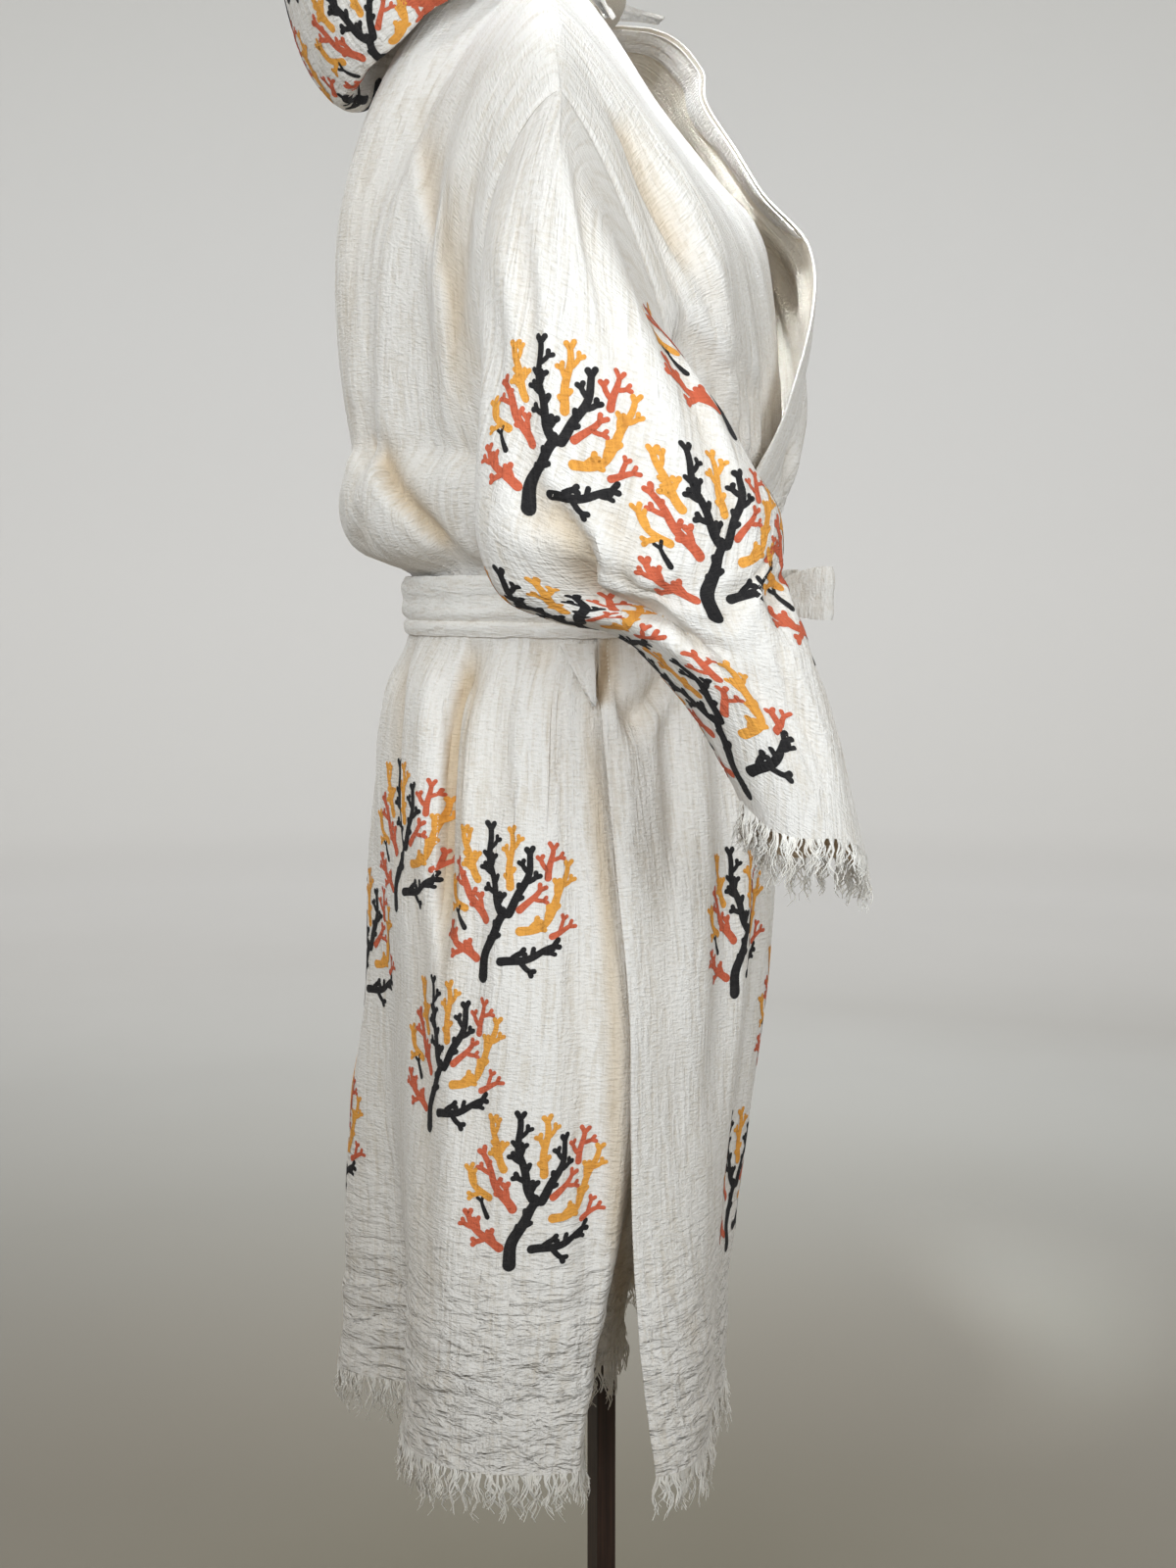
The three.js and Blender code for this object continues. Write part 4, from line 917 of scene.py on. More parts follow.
def sleeve_surface(side):
    """The right sleeve for side 0, the left one for side 1."""
    base = sleeve_base
    normal = normals_of(base, True)
    girth = np.linalg.norm(np.diff(base, axis=1, append=base[:, :1]), axis=-1).sum(1).mean()
    u = girth * np.arange(base.shape[1]) / base.shape[1]
    v = lengths_along(base, 0).mean(1)
    uu, vv = np.meshgrid(u, v)
    turned = (rr + 180) % 360 - 180
    depth = crease_depth(turned, ss, SLEEVE_CREASES, SECTION_DEGREES)
    laps = lap_depth(turned, ss, SLEEVE_LAPS, SECTION_DEGREES)
    # painted shade: how deep each point lies in an overlap or crease, which tints its colour
    fold = np.clip(np.clip(laps / 7, 0, 1) * 0.8 + 0.3 * np.clip(depth / 7, 0, 1), 0, 1)
    depth += laps
    seed = 31 + 10 * side
    elbow = bell((ss - 8) / 3)
    pinches = 2.6 * elbow * noise(uu / 46, vv / 17, seed) + 1.4 * noise(uu / 50, vv / 70, seed + 1)
    cuff = soft((v[-1] - vv) / 12)
    top = vv
    phase = 2 * np.pi * u / girth
    wrap = crinkle(uu, vv + 400 * (side + 1))
    blend = soft((girth - uu) / 30)
    relief = wrap * blend * soft(uu / 30) + pinches * blend * soft(uu / 30)
    shift = 0.6 * noise(vv / 40, np.sin(phase)[None] * 2, seed + 2)
    move = (relief + shift - depth * (1 - 0.15 * side)) * soft(top / 14) - seam_groove(top) + 0.5 * (1 - cuff)
    grid = base + normal * move[..., None]
    if side:
        base, grid = mirrored(base)[:, ::-1], mirrored(grid)[:, ::-1]
    wall = wall_behind(move, True)
    wall, fold = (wall[:, ::-1], fold[:, ::-1]) if side else (wall, fold)
    return dict(
        base=base, u=uu, v=vv, grid=grid, normal=normals_of(grid, True), wall=wall, fold=fold, ring=True, heading=180,
    )


for side, name in enumerate(("sleeve_right", "sleeve_left")):
    surface[name] = sleeve_surface(side)
    part = surface[name]
    uv = np.stack([part["u"], part["v"]], -1)
    cloths[name] = shell(
        name + "_cloth", part["grid"], uv, sleeve_material, ring=True, wall=part["wall"], inside=inside_painted_shade_material,
        plain=part["base"], fold=part["fold"],
    )
    finish_piece(cloths[name], "muslin", name)

# ---- Hood ----
hood_u = np.linspace(1, 0, 149)
hood_v = np.linspace(0, 1, 61)
hv, hu = np.meshgrid(hood_v, hood_u, indexing="ij")
hood_base = hood_point(hu, hv)
hood_normal = normals_of(hood_base)
h_u = lengths_along(hood_base, 1)
h_v = lengths_along(hood_base, 0)
plane_u = np.broadcast_to(h_u[30:31], h_u.shape)
plane_v = np.broadcast_to(h_v[:, 74:75], h_v.shape)
hood_move = (crinkle(plane_u, plane_v + 900) + 2.0 * noise(plane_u / 34, plane_v / 40, 51)) * soft(hv / 0.08)
hood_move += 3 * noise(plane_u / 22, plane_v / 70, 52) * bell((hv - 0.3) / 0.3)
surface["hood"] = dict(base=hood_base, u=plane_u, v=plane_v, grid=hood_base + hood_normal * hood_move[..., None])
surface["hood"]["normal"] = normals_of(surface["hood"]["grid"])
cloths["hood"] = shell("hood_cloth", surface["hood"]["grid"], np.stack([plane_u, plane_v], -1), cloth_material)
finish_piece(cloths["hood"], "muslin", "hood")

# ---- Belt ----
belt_up = np.linspace(-22, 22, 25)
belt_angle = 180 - 360 * np.arange(340) / 340
ba, bu = np.meshgrid(belt_angle, belt_up)
belt_out = read(BELT_PROFILE, bu)[0] + 1.6
belt_base = ring_point(ba, np.full(ba.shape, float(WAIST)), -belt_out)
belt_base[..., 2] = WAIST + bu
belt_u = lengths_along(belt_base[12:13], 1)
uu = np.broadcast_to(belt_u, ba.shape)
seam_out = soft((180 - np.abs(ba)) / 8)
belt_move = (0.9 * noise(bu / 5, uu / 70, 61) + 0.8 * noise(bu / 9, uu / 34, 62)) * seam_out
belt_move += 0.5 * noise(uu / 8, bu / 12, 63) * seam_out
belt_grid = belt_base + normals_of(belt_base, True) * belt_move[..., None]
belt_grid[..., 2] += 1.1 * noise(uu / 60, 0 * uu, 64) * seam_out
cloths["belt"] = shell("belt_cloth", belt_grid, np.stack([uu, bu], -1), belt_painted_light_material, ring=True, wall=1.8)
finish_piece(cloths["belt"], "muslin", "belt")

# ---- Points on a finished cloth ----
def between(values, rows, columns):
    """Values of a grid at fractional rows and columns."""
    i = np.clip(np.floor(rows).astype(int), 0, values.shape[0] - 2)
    j = np.clip(np.floor(columns).astype(int), 0, values.shape[1] - 2)
    s, t = (columns - j)[..., None], (rows - i)[..., None]
    low = values[i, j] * (1 - s) + values[i, j + 1] * s
    high = values[i + 1, j] * (1 - s) + values[i + 1, j + 1] * s
    return low * (1 - t) + high * t


class Map:
    """A cloth unrolled about one of its points: lengths across and along it give places on its grid."""

    def __init__(self, part, at):
        base = part["base"]
        away = np.linalg.norm(base - np.array(at, float), axis=-1)
        self.row, column = np.unravel_index(np.argmin(away), away.shape)
        turn = base.shape[1] // 2 - column if part.get("ring") else 0
        self.column = column + turn
        uv = np.stack([part["u"], part["v"]], -1)
        self.base, self.grid, self.uv = (np.roll(g, turn, 1) for g in (base, part["grid"], uv))
        self.normal = normals_of(self.grid)
        self.across = lengths_along(self.base, 1)
        self.along = lengths_along(self.base[:, self.column:self.column + 1], 0)[:, 0]

    def places(self, a, b):
        """Rows and columns at lengths a across and b along from the middle, and which of them are on the cloth."""
        want = self.along[self.row] + b
        rows = np.interp(want, self.along, np.arange(len(self.along)))
        low = np.clip(np.floor(rows).astype(int), 0, len(self.along) - 2)
        t = (rows - low)[:, None]
        lengths = self.across[low] * (1 - t) + self.across[low + 1] * t
        target = lengths[:, self.column] + a
        j = np.clip((lengths <= target[:, None]).sum(1) - 1, 0, lengths.shape[1] - 2)
        at = np.arange(len(j))
        step = np.maximum(lengths[at, j + 1] - lengths[at, j], 1e-6)
        columns = j + np.clip((target - lengths[at, j]) / step, 0, 1)
        inside = (want > 1) & (want < self.along[-1] - 1) & (target > 1) & (target < lengths[:, -1] - 1)
        return rows, columns, inside

    def lay(self, a, b, lift):
        rows, columns, inside = self.places(a, b)
        p = between(self.grid, rows, columns) + lift * between(self.normal, rows, columns)
        return p, between(self.uv, rows, columns), inside


# ---- The printed branch ----
INKS = ("black", "ochre", "rust")
# ink, x, y, degrees right of up, length, width, bend: the boughs of one branch, in mm about its middle
BOUGHS = (
    ("black", -9, -58, 4, 48, 9.6, 34), ("black", 5, -12, -30, 62, 6.6, 30), ("black", 10, -12, 36, 46, 6.8, -34),
    ("black", 6, -46, 82, 40, 6.4, -22), ("black", -28, -25, -28, 12, 4, 20),
    ("ochre", 19, -24, 82, 30, 6.6, -56), ("ochre", 10, 7, 2, 38, 6.2, -6), ("ochre", -19, 10, -34, 36, 6, 30),
    ("ochre", -28, -11, -62, 26, 5.6, 44), ("ochre", 43, -3, 24, 26, 5.6, -18),
    ("rust", -10, -18, -40, 46, 6.6, 14), ("rust", -17, -46, -68, 34, 6.4, 36), ("rust", 18, -9, 54, 20, 5.4, -32),
    ("rust", 42, -27, 76, 14, 4.8, -16), ("rust", 37, 14, 8, 20, 5.2, -8),
)
PRINT_STEP = 2.2


def stroke(x, y, heading, length, width, bend, taper=0.35):
    """A brush stroke: its middle line, half widths and headings."""
    count = max(4, round(length / PRINT_STEP))
    t = np.linspace(0, 1, count)
    angle = np.radians(heading + bend * t + 11 * np.sin(t * length / 5.2 + x))
    step = length / (count - 1)
    px = x + np.concatenate([[0], np.cumsum(np.sin(angle[:-1]) * step)])
    py = y + np.concatenate([[0], np.cumsum(np.cos(angle[:-1]) * step)])
    return np.stack([px, py], 1), width / 2 * (1 - taper * t), angle


def free_of(line, half, placed, own, margin):
    """Whether a stroke keeps clear of every other bough's strokes."""
    for other, other_half, who in placed:
        if who == own:
            continue
        gap = np.linalg.norm(line[:, None] - other[None], axis=-1) - half[:, None] - other_half[None]
        if gap.min() < margin:
            return False
    return True


def grow_branch(seed):
    """All the strokes of the printed branch: boughs, side twigs and the nubs on their tips."""
    rng = np.random.default_rng(seed)
    strokes, placed = [], []
    for who, (ink, *shape) in enumerate(BOUGHS):
        strokes.append((ink, *stroke(*shape)))
        placed.append((strokes[-1][1], strokes[-1][2], who))
    for who, (ink, x, y, heading, length, width, bend) in enumerate(BOUGHS):
        line, half, angle = strokes[who][1:]
        side = 1 if rng.random() < 0.5 else -1
        at = rng.uniform(6, 9)
        while at < length - (2 if width > 8 else 6):
            k = min(int(at / length * (len(line) - 1)), len(line) - 1)
            trunk = width > 8
            reach = rng.uniform(4.5, 6.5) if trunk else rng.uniform(6.5, 12) * (1 - 0.3 * at / length)
            for scale in (1, 0.7, 0.45):
                lean = np.degrees(angle[k]) + side * rng.uniform(40, 58)
                wide = np.clip(half[k] * 1.5, 3.3, 4.4)
                twig = stroke(*line[k], lean, reach * scale, wide, -side * 20, 0.12)
                if free_of(twig[0], twig[1], placed, who, 1.1):
                    strokes.append((ink, *twig))
                    placed.append((twig[0], twig[1], who))
                    if reach * scale > 6.5:
                        for fork in (-1, 1):
                            nub = stroke(*twig[0][-1], np.degrees(twig[2][-1]) + fork * 38, 3, wide * 0.9, 0, 0)
                            strokes.append((ink, *nub))
                            placed.append((nub[0], nub[1], who))
                    break
            side = -side
            at += rng.uniform(5.4, 8.6)
        for fork in (-1, 1):
            tip = stroke(*line[-1], np.degrees(angle[-1]) + fork * 34, rng.uniform(3.4, 5.4), half[-1] * 1.9, 0, 0)
            strokes.append((ink, *tip))
    return strokes


def ribbon(line, half, angle):
    """A stroke's points and quads, with rounded ends."""
    ahead = np.stack([np.sin(angle), np.cos(angle)], 1)
    reach, width = np.array([1, 0.9, 0.62, 0.3]), np.array([0.1, 0.44, 0.78, 0.95])
    first = line[0] - ahead[0] * half[0] * reach[:, None]
    last = line[-1] + ahead[-1] * half[-1] * reach[::-1, None]
    middle = np.concatenate([first, line, last])
    wide = np.concatenate([half[0] * width, half, half[-1] * width[::-1]])
    ahead = np.concatenate([np.repeat(ahead[:1], 4, 0), ahead, np.repeat(ahead[-1:], 4, 0)])
    right = np.stack([ahead[:, 1], -ahead[:, 0]], 1)
    columns = np.linspace(-1, 1, 5 if half.max() > 2.3 else 3)
    grid = middle[:, None] + right[:, None] * (wide[:, None] * columns)[..., None]
    return grid.reshape(-1, 2), np.array(quads(len(middle), len(columns)))


def branch_mesh(seed):
    verts, faces, inks, count = [], [], [], 0
    for ink, line, half, angle in grow_branch(seed):
        v, f = ribbon(line, half, angle)
        verts.append(v)
        faces.append(f + count)
        inks += [INKS.index(ink)] * len(f)
        count += len(v)
    return np.concatenate(verts), np.concatenate(faces), np.array(inks)


BRANCH = branch_mesh(5)
PRINT_LIFT = 0.34


def print_piece(name, part, places, slot="muslin"):
    """One mesh with a printed branch at each place: a point on the robe and how far it is turned."""
    verts, uvs, faces, inks, count = [], [], [], [], 0
    motif, motif_faces, motif_inks = BRANCH
    for *at, turn in places:
        turn = math.radians(turn + part.get("heading", 0))
        c, s = math.cos(turn), math.sin(turn)
        a, b = motif[:, 0] * c - motif[:, 1] * s, motif[:, 0] * s + motif[:, 1] * c
        p, uv, inside = Map(part, at).lay(a * part.get("hand", 1), b, PRINT_LIFT)
        kept = inside[motif_faces].all(1)
        verts.append(p)
        uvs.append(uv)
        faces.append(motif_faces[kept] + count)
        inks.append(motif_inks[kept])
        count += len(p)
    faces = np.concatenate(faces)
    used = np.unique(faces)
    renumber = np.zeros(count, int)
    renumber[used] = np.arange(len(used))
    obj = new_object(
        name, np.concatenate(verts)[used], renumber[faces].tolist(), np.concatenate(uvs)[used], None, 0,
    )
    for ink in (black_ink, ochre_ink, rust_ink):
        obj.data.materials.append(ink)
    obj.data.polygons.foreach_set("material_index", np.concatenate(inks).astype(np.int32))
    finish_piece(obj, slot)
    return obj


# ---- Fringes ----
# strands hang from each hem and cuff: spacing of the clumps, strand length, how wavy, seed
FRINGES = {
    "fringe_back": ("back", 3.3, 35, 2.6, 1), "fringe_front_right": ("front_right", 3.3, 34, 2.6, 2),
    "fringe_front_left": ("front_left", 3.3, 36, 2.6, 3), "fringe_cuff_right": ("sleeve_right", 3, 30, 2.6, 4),
    "fringe_cuff_left": ("sleeve_left", 3, 30, 2.6, 5),
}
STRANDS = 4  # in each clump
STATIONS = 8
THREAD = 0.8  # half the width of a strand at its root


def fringe_piece(name, source, spacing, length, wave, seed):
    """Clumps of wavy threads hanging from a hem or cuff."""
    part = surface[source]
    row = -1 if part.get("ring") else 0
    grid, normal = part["grid"], part["normal"]
    rim = grid[row] - 0.5 * WALL * normal[row]
    out = normal[row]
    if part.get("ring"):
        rim, out = np.concatenate([rim, rim[:1]]), np.concatenate([out, out[:1]])
    lengths = np.concatenate([[0], np.cumsum(np.linalg.norm(np.diff(rim, axis=0), axis=1))])
    rng = np.random.default_rng(seed)
    clumps = int(lengths[-1] / spacing)
    at = (np.arange(clumps) + 0.5 + rng.uniform(-0.4, 0.4, clumps)) * lengths[-1] / clumps
    at = np.repeat(at, STRANDS) + rng.uniform(-1.5, 1.5, clumps * STRANDS)
    at = np.clip(at, 1, lengths[-1] - 1)
    root = np.stack([np.interp(at, lengths, rim[:, k]) for k in range(3)], 1)
    outward = unit(np.stack([np.interp(at, lengths, out[:, k]) for k in range(3)], 1) * (1, 1, 0))
    tangent = np.cross(outward, (0, 0, 1))
    group = np.repeat(np.arange(clumps), STRANDS)
    each = clumps * STRANDS

    def vary(low, high, shared):
        return rng.uniform(low, high, clumps)[group] if shared else rng.uniform(low, high, each)

    t = np.linspace(0, 1, STATIONS)[None]
    reach = (length * vary(0.62, 1.12, True) * vary(0.72, 1.05, False))[:, None]
    phase, twist = vary(0, 6.28, True)[:, None], vary(-0.9, 0.9, False)[:, None]
    turns = vary(1.1, 2.1, True)[:, None]
    swing = wave * (0.25 + t) * np.sin(2 * np.pi * turns * t + phase + twist) - wave * 0.25 * np.sin(phase + twist)
    lean = (vary(-5, 5, True) + vary(-1.6, 1.6, False))[:, None] * t
    tuck = (group * 0 + vary(-1.5, 1.5, False))[:, None] * (1 - t) * t
    depth = (vary(-3.5, 4.5, True) + vary(-1, 1, False))[:, None] * t + 0.7 * wave * t * np.cos(2 * np.pi * turns * t + phase)
    middle = root[:, None] + (0, 0, 1.2) - reach[..., None] * t[..., None] * np.array([0, 0, 1.0])
    middle = middle + tangent[:, None] * (swing + lean + tuck)[..., None] + outward[:, None] * depth[..., None]
    radius = THREAD * (1 - 0.62 * t ** 1.5) * vary(0.75, 1.15, False)[:, None]
    side = np.array([0, 2 * np.pi / 3, 4 * np.pi / 3])
    ring = tangent[:, None, None] * np.cos(side)[None, None, :, None]
    ring = ring + outward[:, None, None] * np.sin(side)[None, None, :, None]
    verts = (middle[:, :, None] + ring * radius[..., None, None]).reshape(-1, 3)
    one = np.array(quads(STATIONS, 3, True))
    faces = (one[None] + (np.arange(each) * STATIONS * 3)[:, None, None]).reshape(-1, 4).tolist()
    obj = new_object(name + "_threads", verts, faces, None, thread, 0)
    finish_piece(obj, "muslin", name)
    return obj


# ---- Sewing ----
STITCH = (2.3, 0.42)  # length and half width


def stitch_verts(line, lift_from):
    """Small raised stitches along a line of points, with the direction that faces out at each."""
    lengths = np.concatenate([[0], np.cumsum(np.linalg.norm(np.diff(line, axis=0), axis=1))])
    at = np.arange(2, lengths[-1] - 2, 3.3)
    p, q = (np.stack([np.interp(at + k, lengths, line[:, c]) for c in range(3)], 1) for k in (0, STITCH[0]))
    out = unit(np.stack([np.interp(at, lengths, lift_from[:, c]) for c in range(3)], 1))
    side = unit(np.cross(unit(q - p), out)) * STITCH[1]
    lift = out * 0.28
    return np.stack([p, (p + q) / 2 + side, q, (p + q) / 2 - side, (p + q) / 2 + out * 0.5], 1) + lift[:, None]


def stitches(name, lines):
    verts = np.concatenate([stitch_verts(*line) for line in lines])
    base = np.arange(len(verts))[:, None, None] * 5
    faces = (np.array([[0, 1, 4], [1, 2, 4], [2, 3, 4], [3, 0, 4]])[None] + base).reshape(-1, 3).tolist()
    obj = new_object(name, verts.reshape(-1, 3), faces, None, thread, 0)
    finish_piece(obj, "muslin")
    return obj


def seam_line(part, rows, columns):
    rows, columns = np.broadcast_arrays(np.asarray(rows, float), np.asarray(columns, float))
    return between(part["grid"], rows, columns), between(part["normal"], rows, columns)


def inset(part, distance, rows, last=False):
    """Columns that lie a distance along the cloth from its first or last column, at whole rows."""
    lengths = lengths_along(part["base"], 1)[rows]
    wanted = lengths[:, -1] - distance if last else np.full(len(rows), float(distance))
    return np.array([np.interp(w, l, np.arange(len(l))) for w, l in zip(wanted, lengths)])


# ---- Bands of the bow, and the small folded edge ----
def band_grid(stations, across, rows=40, columns=15):
    """A band through stations of t, x, y, z, half width and twist, its width running along a direction."""
    t = np.linspace(0, 1, rows)
    x, y, z, half, twist = read(np.array(stations, float), t * (len(stations) - 1))
    turn = np.radians(twist)
    ax, ay, az = across
    side = points(ax * np.cos(turn) - ay * np.sin(turn), ax * np.sin(turn) + ay * np.cos(turn), az)
    k = np.linspace(-1, 1, columns)
    return points(x, y, z)[:, None] + side[:, None] * (half[:, None] * k)[..., None]


def band_piece(name, stations, across, node, seed, rows=60, columns=17):
    base = band_grid(stations, across, rows, columns)
    normal = normals_of(base)
    u = np.broadcast_to(np.linspace(-20, 20, columns), base.shape[:2])
    v = np.broadcast_to(lengths_along(base, 0)[:, columns // 2:columns // 2 + 1], base.shape[:2])
    edge = soft((20 - np.abs(u)) / 5)
    move = 1.0 * noise(u / 8, v / 46, seed) * edge + 0.25 * noise(u / 4, v / 24, seed + 1) * edge
    move = move + 0.9 * (1 - soft((20 - np.abs(u)) / 3))
    grid = base + normal * (move + 1.1)[..., None]
    obj = shell(name, grid, np.stack([u, v], -1), belt_painted_light_material, wall=2.2)
    finish_piece(obj, "muslin", node)
    return obj


UP, ALONG_X = (0, 0, 1), (-1, 0, 0)
# t, x, y, z, half width, twist
RIGHT_LOOP = (
    (0, -66, -131, 973, 9, 0), (1, -76, -143, 975, 15, 0), (2, -86, -158, 976, 18.5, 0), (3, -88, -168, 976, 19, 0),
    (4, -80, -171, 976, 19, 0), (5, -72, -160, 976, 18, 0), (6, -66, -146, 974, 13, 0), (7, -62, -138, 973, 8, 0),
)
LEFT_LOOP = (
    (0, -42, -138, 973, 8, 0), (1, -26, -146, 974, 13, 0), (2, -4, -154, 975, 18, 0), (3, 18, -155, 975, 19, 0),
    (4, 24, -148, 975, 19, 0), (5, 14, -141, 975, 18, 0), (6, -10, -137, 974, 15, 0), (7, -37, -130, 973, 9, 0),
)
RIGHT_END = (
    (0, -60, -131, 955, 6, 0), (1, -66, -138, 932, 13, 8), (2, -68, -143, 898, 18, 14), (3, -69, -145, 858, 20, 10),
    (4, -71, -146, 818, 20, 6),
)
LEFT_END = (
    (0, -44, -131, 955, 6, 0), (1, -37, -140, 930, 11, -6), (2, -29, -147, 894, 15, -10), (3, -23, -149, 852, 18, -6),
)
KNOT = (-52, -129, 971, 26, 17, 30)


def knot_piece():
    """The bow's knot: a wrapped lump of belt, with folds running up over it."""
    x, y, z, across, deep, high = KNOT
    lat, lon = np.meshgrid(np.linspace(-1, 1, 41) * math.pi / 2, np.arange(64) / 64 * 2 * math.pi, indexing="ij")
    p = points(
        pointed(np.cos(lat), 0.7) * pointed(np.cos(lon), 0.8), pointed(np.cos(lat), 0.7) * pointed(np.sin(lon), 0.8),
        pointed(np.sin(lat), 0.85),
    )
    folds = 0.07 * np.sin(p[..., 0] * 9 + p[..., 2] * 1.6 + 1) + 0.05 * noise(p[..., 0] * 4, p[..., 2] * 1.5, 71)
    p = p * (1 + folds)[..., None] * (across / 2, deep / 2, high / 2) + (x, y, z)
    uv = points(lon * 12, lat * 15)
    obj = new_object("knot_cloth", p.reshape(-1, 3), quads(41, 64, True), uv.reshape(-1, 2), cloth_material, 0)
    finish_piece(obj, "muslin", "belt_knot")
    return obj


def edge_fold_piece():
    """The bit of the left front's edge that is folded back below the belt."""
    t = np.linspace(0, 1, 25)[:, None]
    k = np.linspace(0, 1, 11)[None]
    z = 898 + (941 - 898) * t
    free = read(EDGES, z)[0]
    base = ring_point(free + 1.5 + (0.8 + 8.7 * t) * (1 - k), z + 0 * k, -9 - 3 * t)
    normal = normals_of(base)
    u, v = np.broadcast_arrays(k * 18, z)
    move = 0.8 * noise(u / 5, v / 12, 81) + 0.35 * np.sin(v * 2.2 + u * 1.2)
    obj = shell("edge_fold_cloth", base + normal * move[..., None], np.stack([u, v], -1), cloth_material)
    finish_piece(obj, "muslin", "edge_fold")
    return obj


def facing_piece():
    """The facing inside the left front's neckline edge, with a rounded foot and a sewn inner edge."""
    part = surface["front_left"]
    rows = np.arange(ring_rows + int(0.47 * len(V_ROWS)), ring_rows + int(0.975 * len(V_ROWS)))
    share = np.linspace(0, 1, len(rows))
    width = 24 * np.sqrt(np.clip(share / 0.09, 0, 1))
    reach = np.linspace(0, 1, 13)
    columns = np.stack([inset_at(part, 3 + r * width, rows) for r in reach], 1)
    r, c = np.broadcast_arrays(rows[:, None].astype(float), columns)
    normal = between(part["normal"], r, c)
    base = between(part["grid"], r, c) - normal * (WALL + 1.9)
    u, v = np.broadcast_arrays(reach[None] * 24, (rows * RISE)[:, None])
    puff = 0.5 * noise(u / 7, v / 16, 91) - 0.6 * (1 - soft((1 - reach) / 0.2))
    grid = base - normal * puff[..., None]
    obj = shell("facing_cloth", grid[:, ::-1], np.stack([u, v], -1)[:, ::-1], cloth_material, wall=1.1)
    finish_piece(obj, "muslin", "facing_left")
    return obj, (grid[:, -3], -normal[:, -3])


def inset_at(part, distances, rows):
    """Columns at a different distance from the first column on each of the rows."""
    lengths = lengths_along(part["base"], 1)[rows]
    return np.array([np.interp(d, l, np.arange(len(l))) for d, l in zip(distances, lengths)])


# ---- Laying on the prints, fringes, bow and sewing ----
atlas = {
    key: np.concatenate([surface[name][key] for name in ORDER], 1) for key in ("base", "grid", "u", "v")
}
# x, y, z, turn: where the printed branches lie on the skirt's right side and front
SKIRT_PRINTS = [
    (-182, 73, 765, 0), (-206, 52, 561, 0), (-165, 119, 652, 3), (-108, 151, 800, 2), (-30, 180, 712, 0),
    (-115, -103, 739, 0), (-64, -100, 529, 0), (-10, -126, 655, 0),
]
# degrees round and height, for the rest of the repeat
for turn, heights in ((336, (748, 544)), (305, (648,)), (274, (748, 544)), (243, (648,)), (218, (748, 544)), (185, (552,))):
    SKIRT_PRINTS += [(*ring_point(turn, z), 0) for z in heights]
# the same on the right sleeve
SLEEVE_PRINTS = (
    (-351, 36, 1083, -12), (-353, -64, 1018, -10), (-312, 30, 966, -26), (-328, -57, 907, 14),
    (-292, -108, 985, -6), (-292, -58, 1118, -6), (-262, 14, 1050, 0), (-262, -66, 950, 0),
)
HOOD_PRINTS = (
    (-70, 183, 1386, 0), (30, 214, 1378, 0), (-104, 110, 1450, 0), (104, 120, 1450, 0), (-10, 232, 1470, 0),
)
prints = {"body": print_piece("print_body", atlas, SKIRT_PRINTS)}
for name in ("sleeve_right", "sleeve_left"):
    hand = 1 if name == "sleeve_right" else -1
    places = [(hand * x, y, z, hand * turn) for x, y, z, turn in SLEEVE_PRINTS]
    prints[name] = print_piece("print_" + name, surface[name], places)
prints["hood"] = print_piece("print_hood", surface["hood"], HOOD_PRINTS)

threads = {name: fringe_piece(name, *row) for name, row in FRINGES.items()}
band_piece("loop_right_cloth", RIGHT_LOOP, UP, "belt_loop_right", 101)
band_piece("loop_left_cloth", LEFT_LOOP, UP, "belt_loop_left", 111)
end_right = band_piece("end_right_cloth", RIGHT_END, ALONG_X, "belt_end_right", 121)
end_left = band_piece("end_left_cloth", LEFT_END, ALONG_X, "belt_end_left", 131)
knot_piece()
edge_fold_piece()
facing, facing_seam = facing_piece()

left = surface["front_left"]
all_rows = np.arange(2, left["grid"].shape[0] - 3)
left_edge = seam_line(left, all_rows, inset(left, 8, all_rows))
sewn = [left_edge, facing_seam]
for name in ORDER:
    part = surface[name]
    top = part["grid"].shape[0] - 1
    low, high = (0.02, 0.98) if name != "back" else (0.02, NECK_SHARE)
    span = np.linspace(low, high, 60) * (part["grid"].shape[1] - 1)
    if name == "back":
        sewn.append(seam_line(part, top - 1.4, span))
        sewn.append(seam_line(part, top - 1.4, part["grid"].shape[1] - 1 - span))
stitches("stitches", sewn)

# ---- Dress form and stand ----
form_z = np.linspace(FORM[0, 0], FORM[-1, 0], 81)
fz, fa = np.meshgrid(form_z, 2 * np.pi * np.arange(64) / 64, indexing="ij")
half_width, front_reach, back_reach = read(FORM, fz)
form_grid = points(
    half_width * np.cos(fa), (back_reach - front_reach) / 2 + (back_reach + front_reach) / 2 * np.sin(fa), fz
)
caps = [list(range(63, -1, -1)), list(range(80 * 64, 81 * 64))]
form = new_object("form_cover", form_grid.reshape(-1, 3), quads(81, 64, True) + caps, None, linen_material(), 40)
finish_piece(form, "form_cover", "form_torso")
lacquer = lacquer_material()
for node in ("post", "base"):
    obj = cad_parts[node]
    obj.data.materials.clear()
    obj.data.materials.append(lacquer)

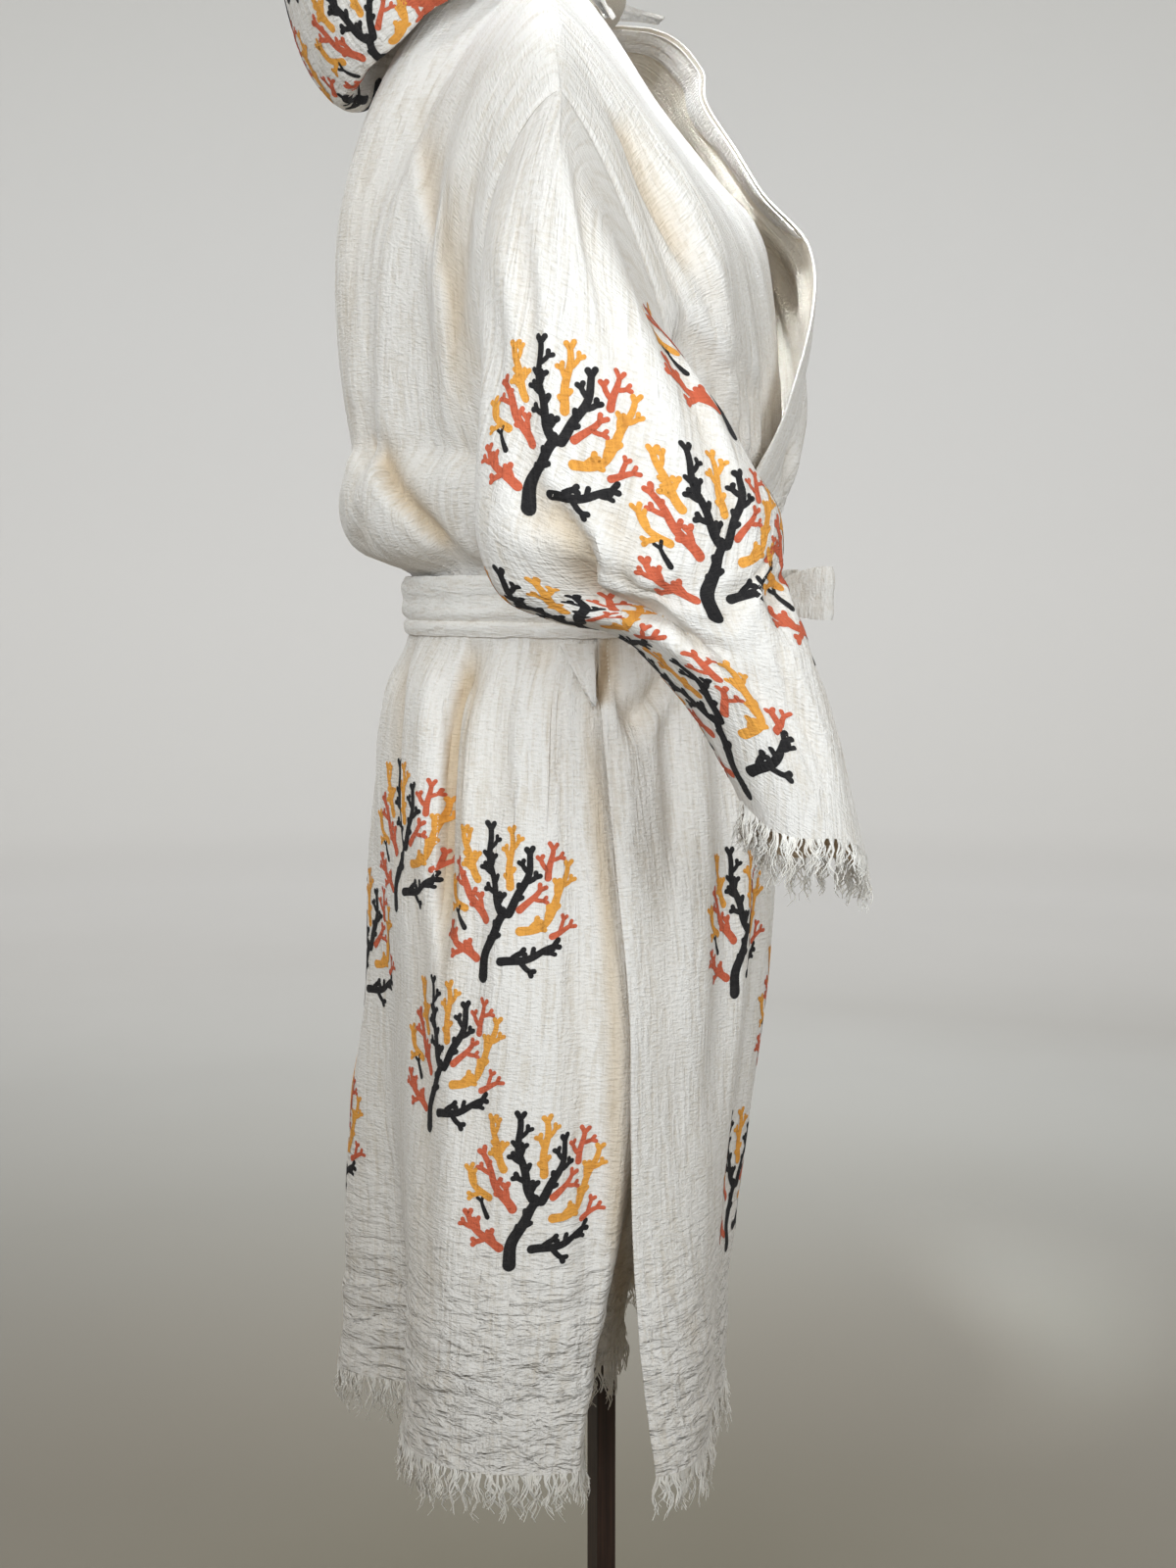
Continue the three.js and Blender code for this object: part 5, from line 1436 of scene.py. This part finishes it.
# ---- Light and floor ----
# metres along the floor and up the wall from under the robe, and the paint's colour there: painted shade, dark on the
# floor near the robe's foot and growing paler up the wall
BACKDROP_PAINTED_SHADE = (
    (0.3, (0.255, 0.225, 0.165)), (0.55, (0.28, 0.25, 0.195)), (0.8, (0.29, 0.26, 0.212)),
    (1.6, (0.29, 0.274, 0.243)), (2.4, (0.33, 0.319, 0.297)), (3.4, (0.43, 0.421, 0.405)),
    (5.0, (0.58, 0.573, 0.564)), (6.2, (0.618, 0.611, 0.598)), (7.2, (0.64, 0.632, 0.62)),
    (8.2, (0.627, 0.622, 0.612)), (9.6, (0.58, 0.577, 0.563)),
)
BACKDROP_LENGTH = 12.0


def studio_painted_shade_material():
    """Matt paint with painted shade: dark near the robe's foot and paler along the floor and up the wall, with a faint
    mottle.
    """
    material, nodes, links, shader = blank("studio")
    mottle = noise_node(nodes, links, nodes.new("ShaderNodeTexCoord").outputs["Object"], (2, 2, 2), 4, 0.6)
    place = nodes.new("ShaderNodeSeparateXYZ")
    links.new(nodes.new("ShaderNodeTexCoord").outputs["UV"], place.inputs["Vector"])
    share = nodes.new("ShaderNodeMapRange")
    share.inputs["From Max"].default_value = BACKDROP_LENGTH
    links.new(place.outputs["Y"], share.inputs["Value"])
    tone = mix_value(nodes, links, share.outputs["Result"], mottle, 0.02)
    stops = [(0.98 * at / BACKDROP_LENGTH + 0.01, color) for at, color in BACKDROP_PAINTED_SHADE]
    links.new(ramp_node(nodes, links, tone, stops), shader.inputs["Base Color"])
    shader.inputs["Roughness"].default_value = 0.9
    return material


# radius and height of the studio's floor and its wall, which run into each other
STUDIO = ((0, 0), (3000, 0), (5200, 0), (6000, 180), (6600, 700), (6900, 1500), (7000, 2600), (7000, 5200))
turns = 2 * np.pi * np.arange(96) / 96
studio_rows = read(np.array([(k, *row) for k, row in enumerate(STUDIO)], float), np.linspace(0, 7, 85))
radius, height = (row[:, None] for row in studio_rows)
studio_grid = points(np.maximum(radius, 1) * np.cos(turns), np.maximum(radius, 1) * np.sin(turns), height + 0 * turns)
studio_uv = np.stack([turns[None] * 1000 + 0 * radius, lengths_along(studio_grid, 0)], -1)
studio = new_object(
    "studio", studio_grid.reshape(-1, 3), quads(85, 96, True), studio_uv.reshape(-1, 2), studio_painted_shade_material(), 0,
)


def area_light(name, at, aim, size, power, color, spread=180):
    data = bpy.data.lights.new(name, "AREA")
    data.spread = math.radians(spread)
    data.shape = "RECTANGLE"
    data.size, data.size_y = size
    data.energy = power
    data.color = color
    light = bpy.data.objects.new(name, data)
    light.location = at
    direction = np.array(aim) - np.array(at)
    yaw = math.atan2(direction[1], direction[0]) - math.pi / 2
    pitch = math.atan2(direction[2], math.hypot(direction[0], direction[1])) + math.pi / 2
    light.rotation_euler = (pitch, 0, yaw)
    light.visible_camera = False
    bpy.context.collection.objects.link(light)


COOL, WARM = (0.82, 0.91, 1.0), (1.0, 0.91, 0.77)
area_light("key", (-2.2, 0.95, 1.6), (-0.15, 0.06, 1.10), (0.8, 0.8), 3.8, COOL, 62)
area_light("front", (-2.0, -0.15, 1.35), (-0.05, -0.03, 1.05), (0.7, 0.7), 1.05, COOL, 62)
area_light("fill", (-1.9, -1.3, 1.4), (0, -0.05, 1.04), (1.1, 1.1), 3.4, COOL, 62)
area_light("top", (-0.8, 0.35, 2.5), (0, -0.1, 1.25), (0.5, 0.5), 0.5, COOL, 70)
area_light("neck", (-0.8, 0.2, 2.3), (0.03, -0.11, 1.26), (0.15, 0.15), 0.36, COOL, 14)
area_light("back", (1.8, 1.2, 2.4), (0, 0, 1.1), (1.6, 1.6), 22, COOL)
area_light("far", (2.3, -0.9, 1.7), (0, 0, 0.95), (1.5, 1.5), 26, COOL)
area_light("wall", (2.0, 0, 3.4), (7, 0, 1.2), (5, 2.4), 210, (0.90, 0.93, 0.96))
world = bpy.data.worlds.new("studio")
world.use_nodes = True
world.node_tree.nodes["Background"].inputs["Color"].default_value = (*WARM, 1)
world.node_tree.nodes["Background"].inputs["Strength"].default_value = 0.4
bpy.context.scene.world = world
bpy.context.scene.view_settings.view_transform = "Standard"
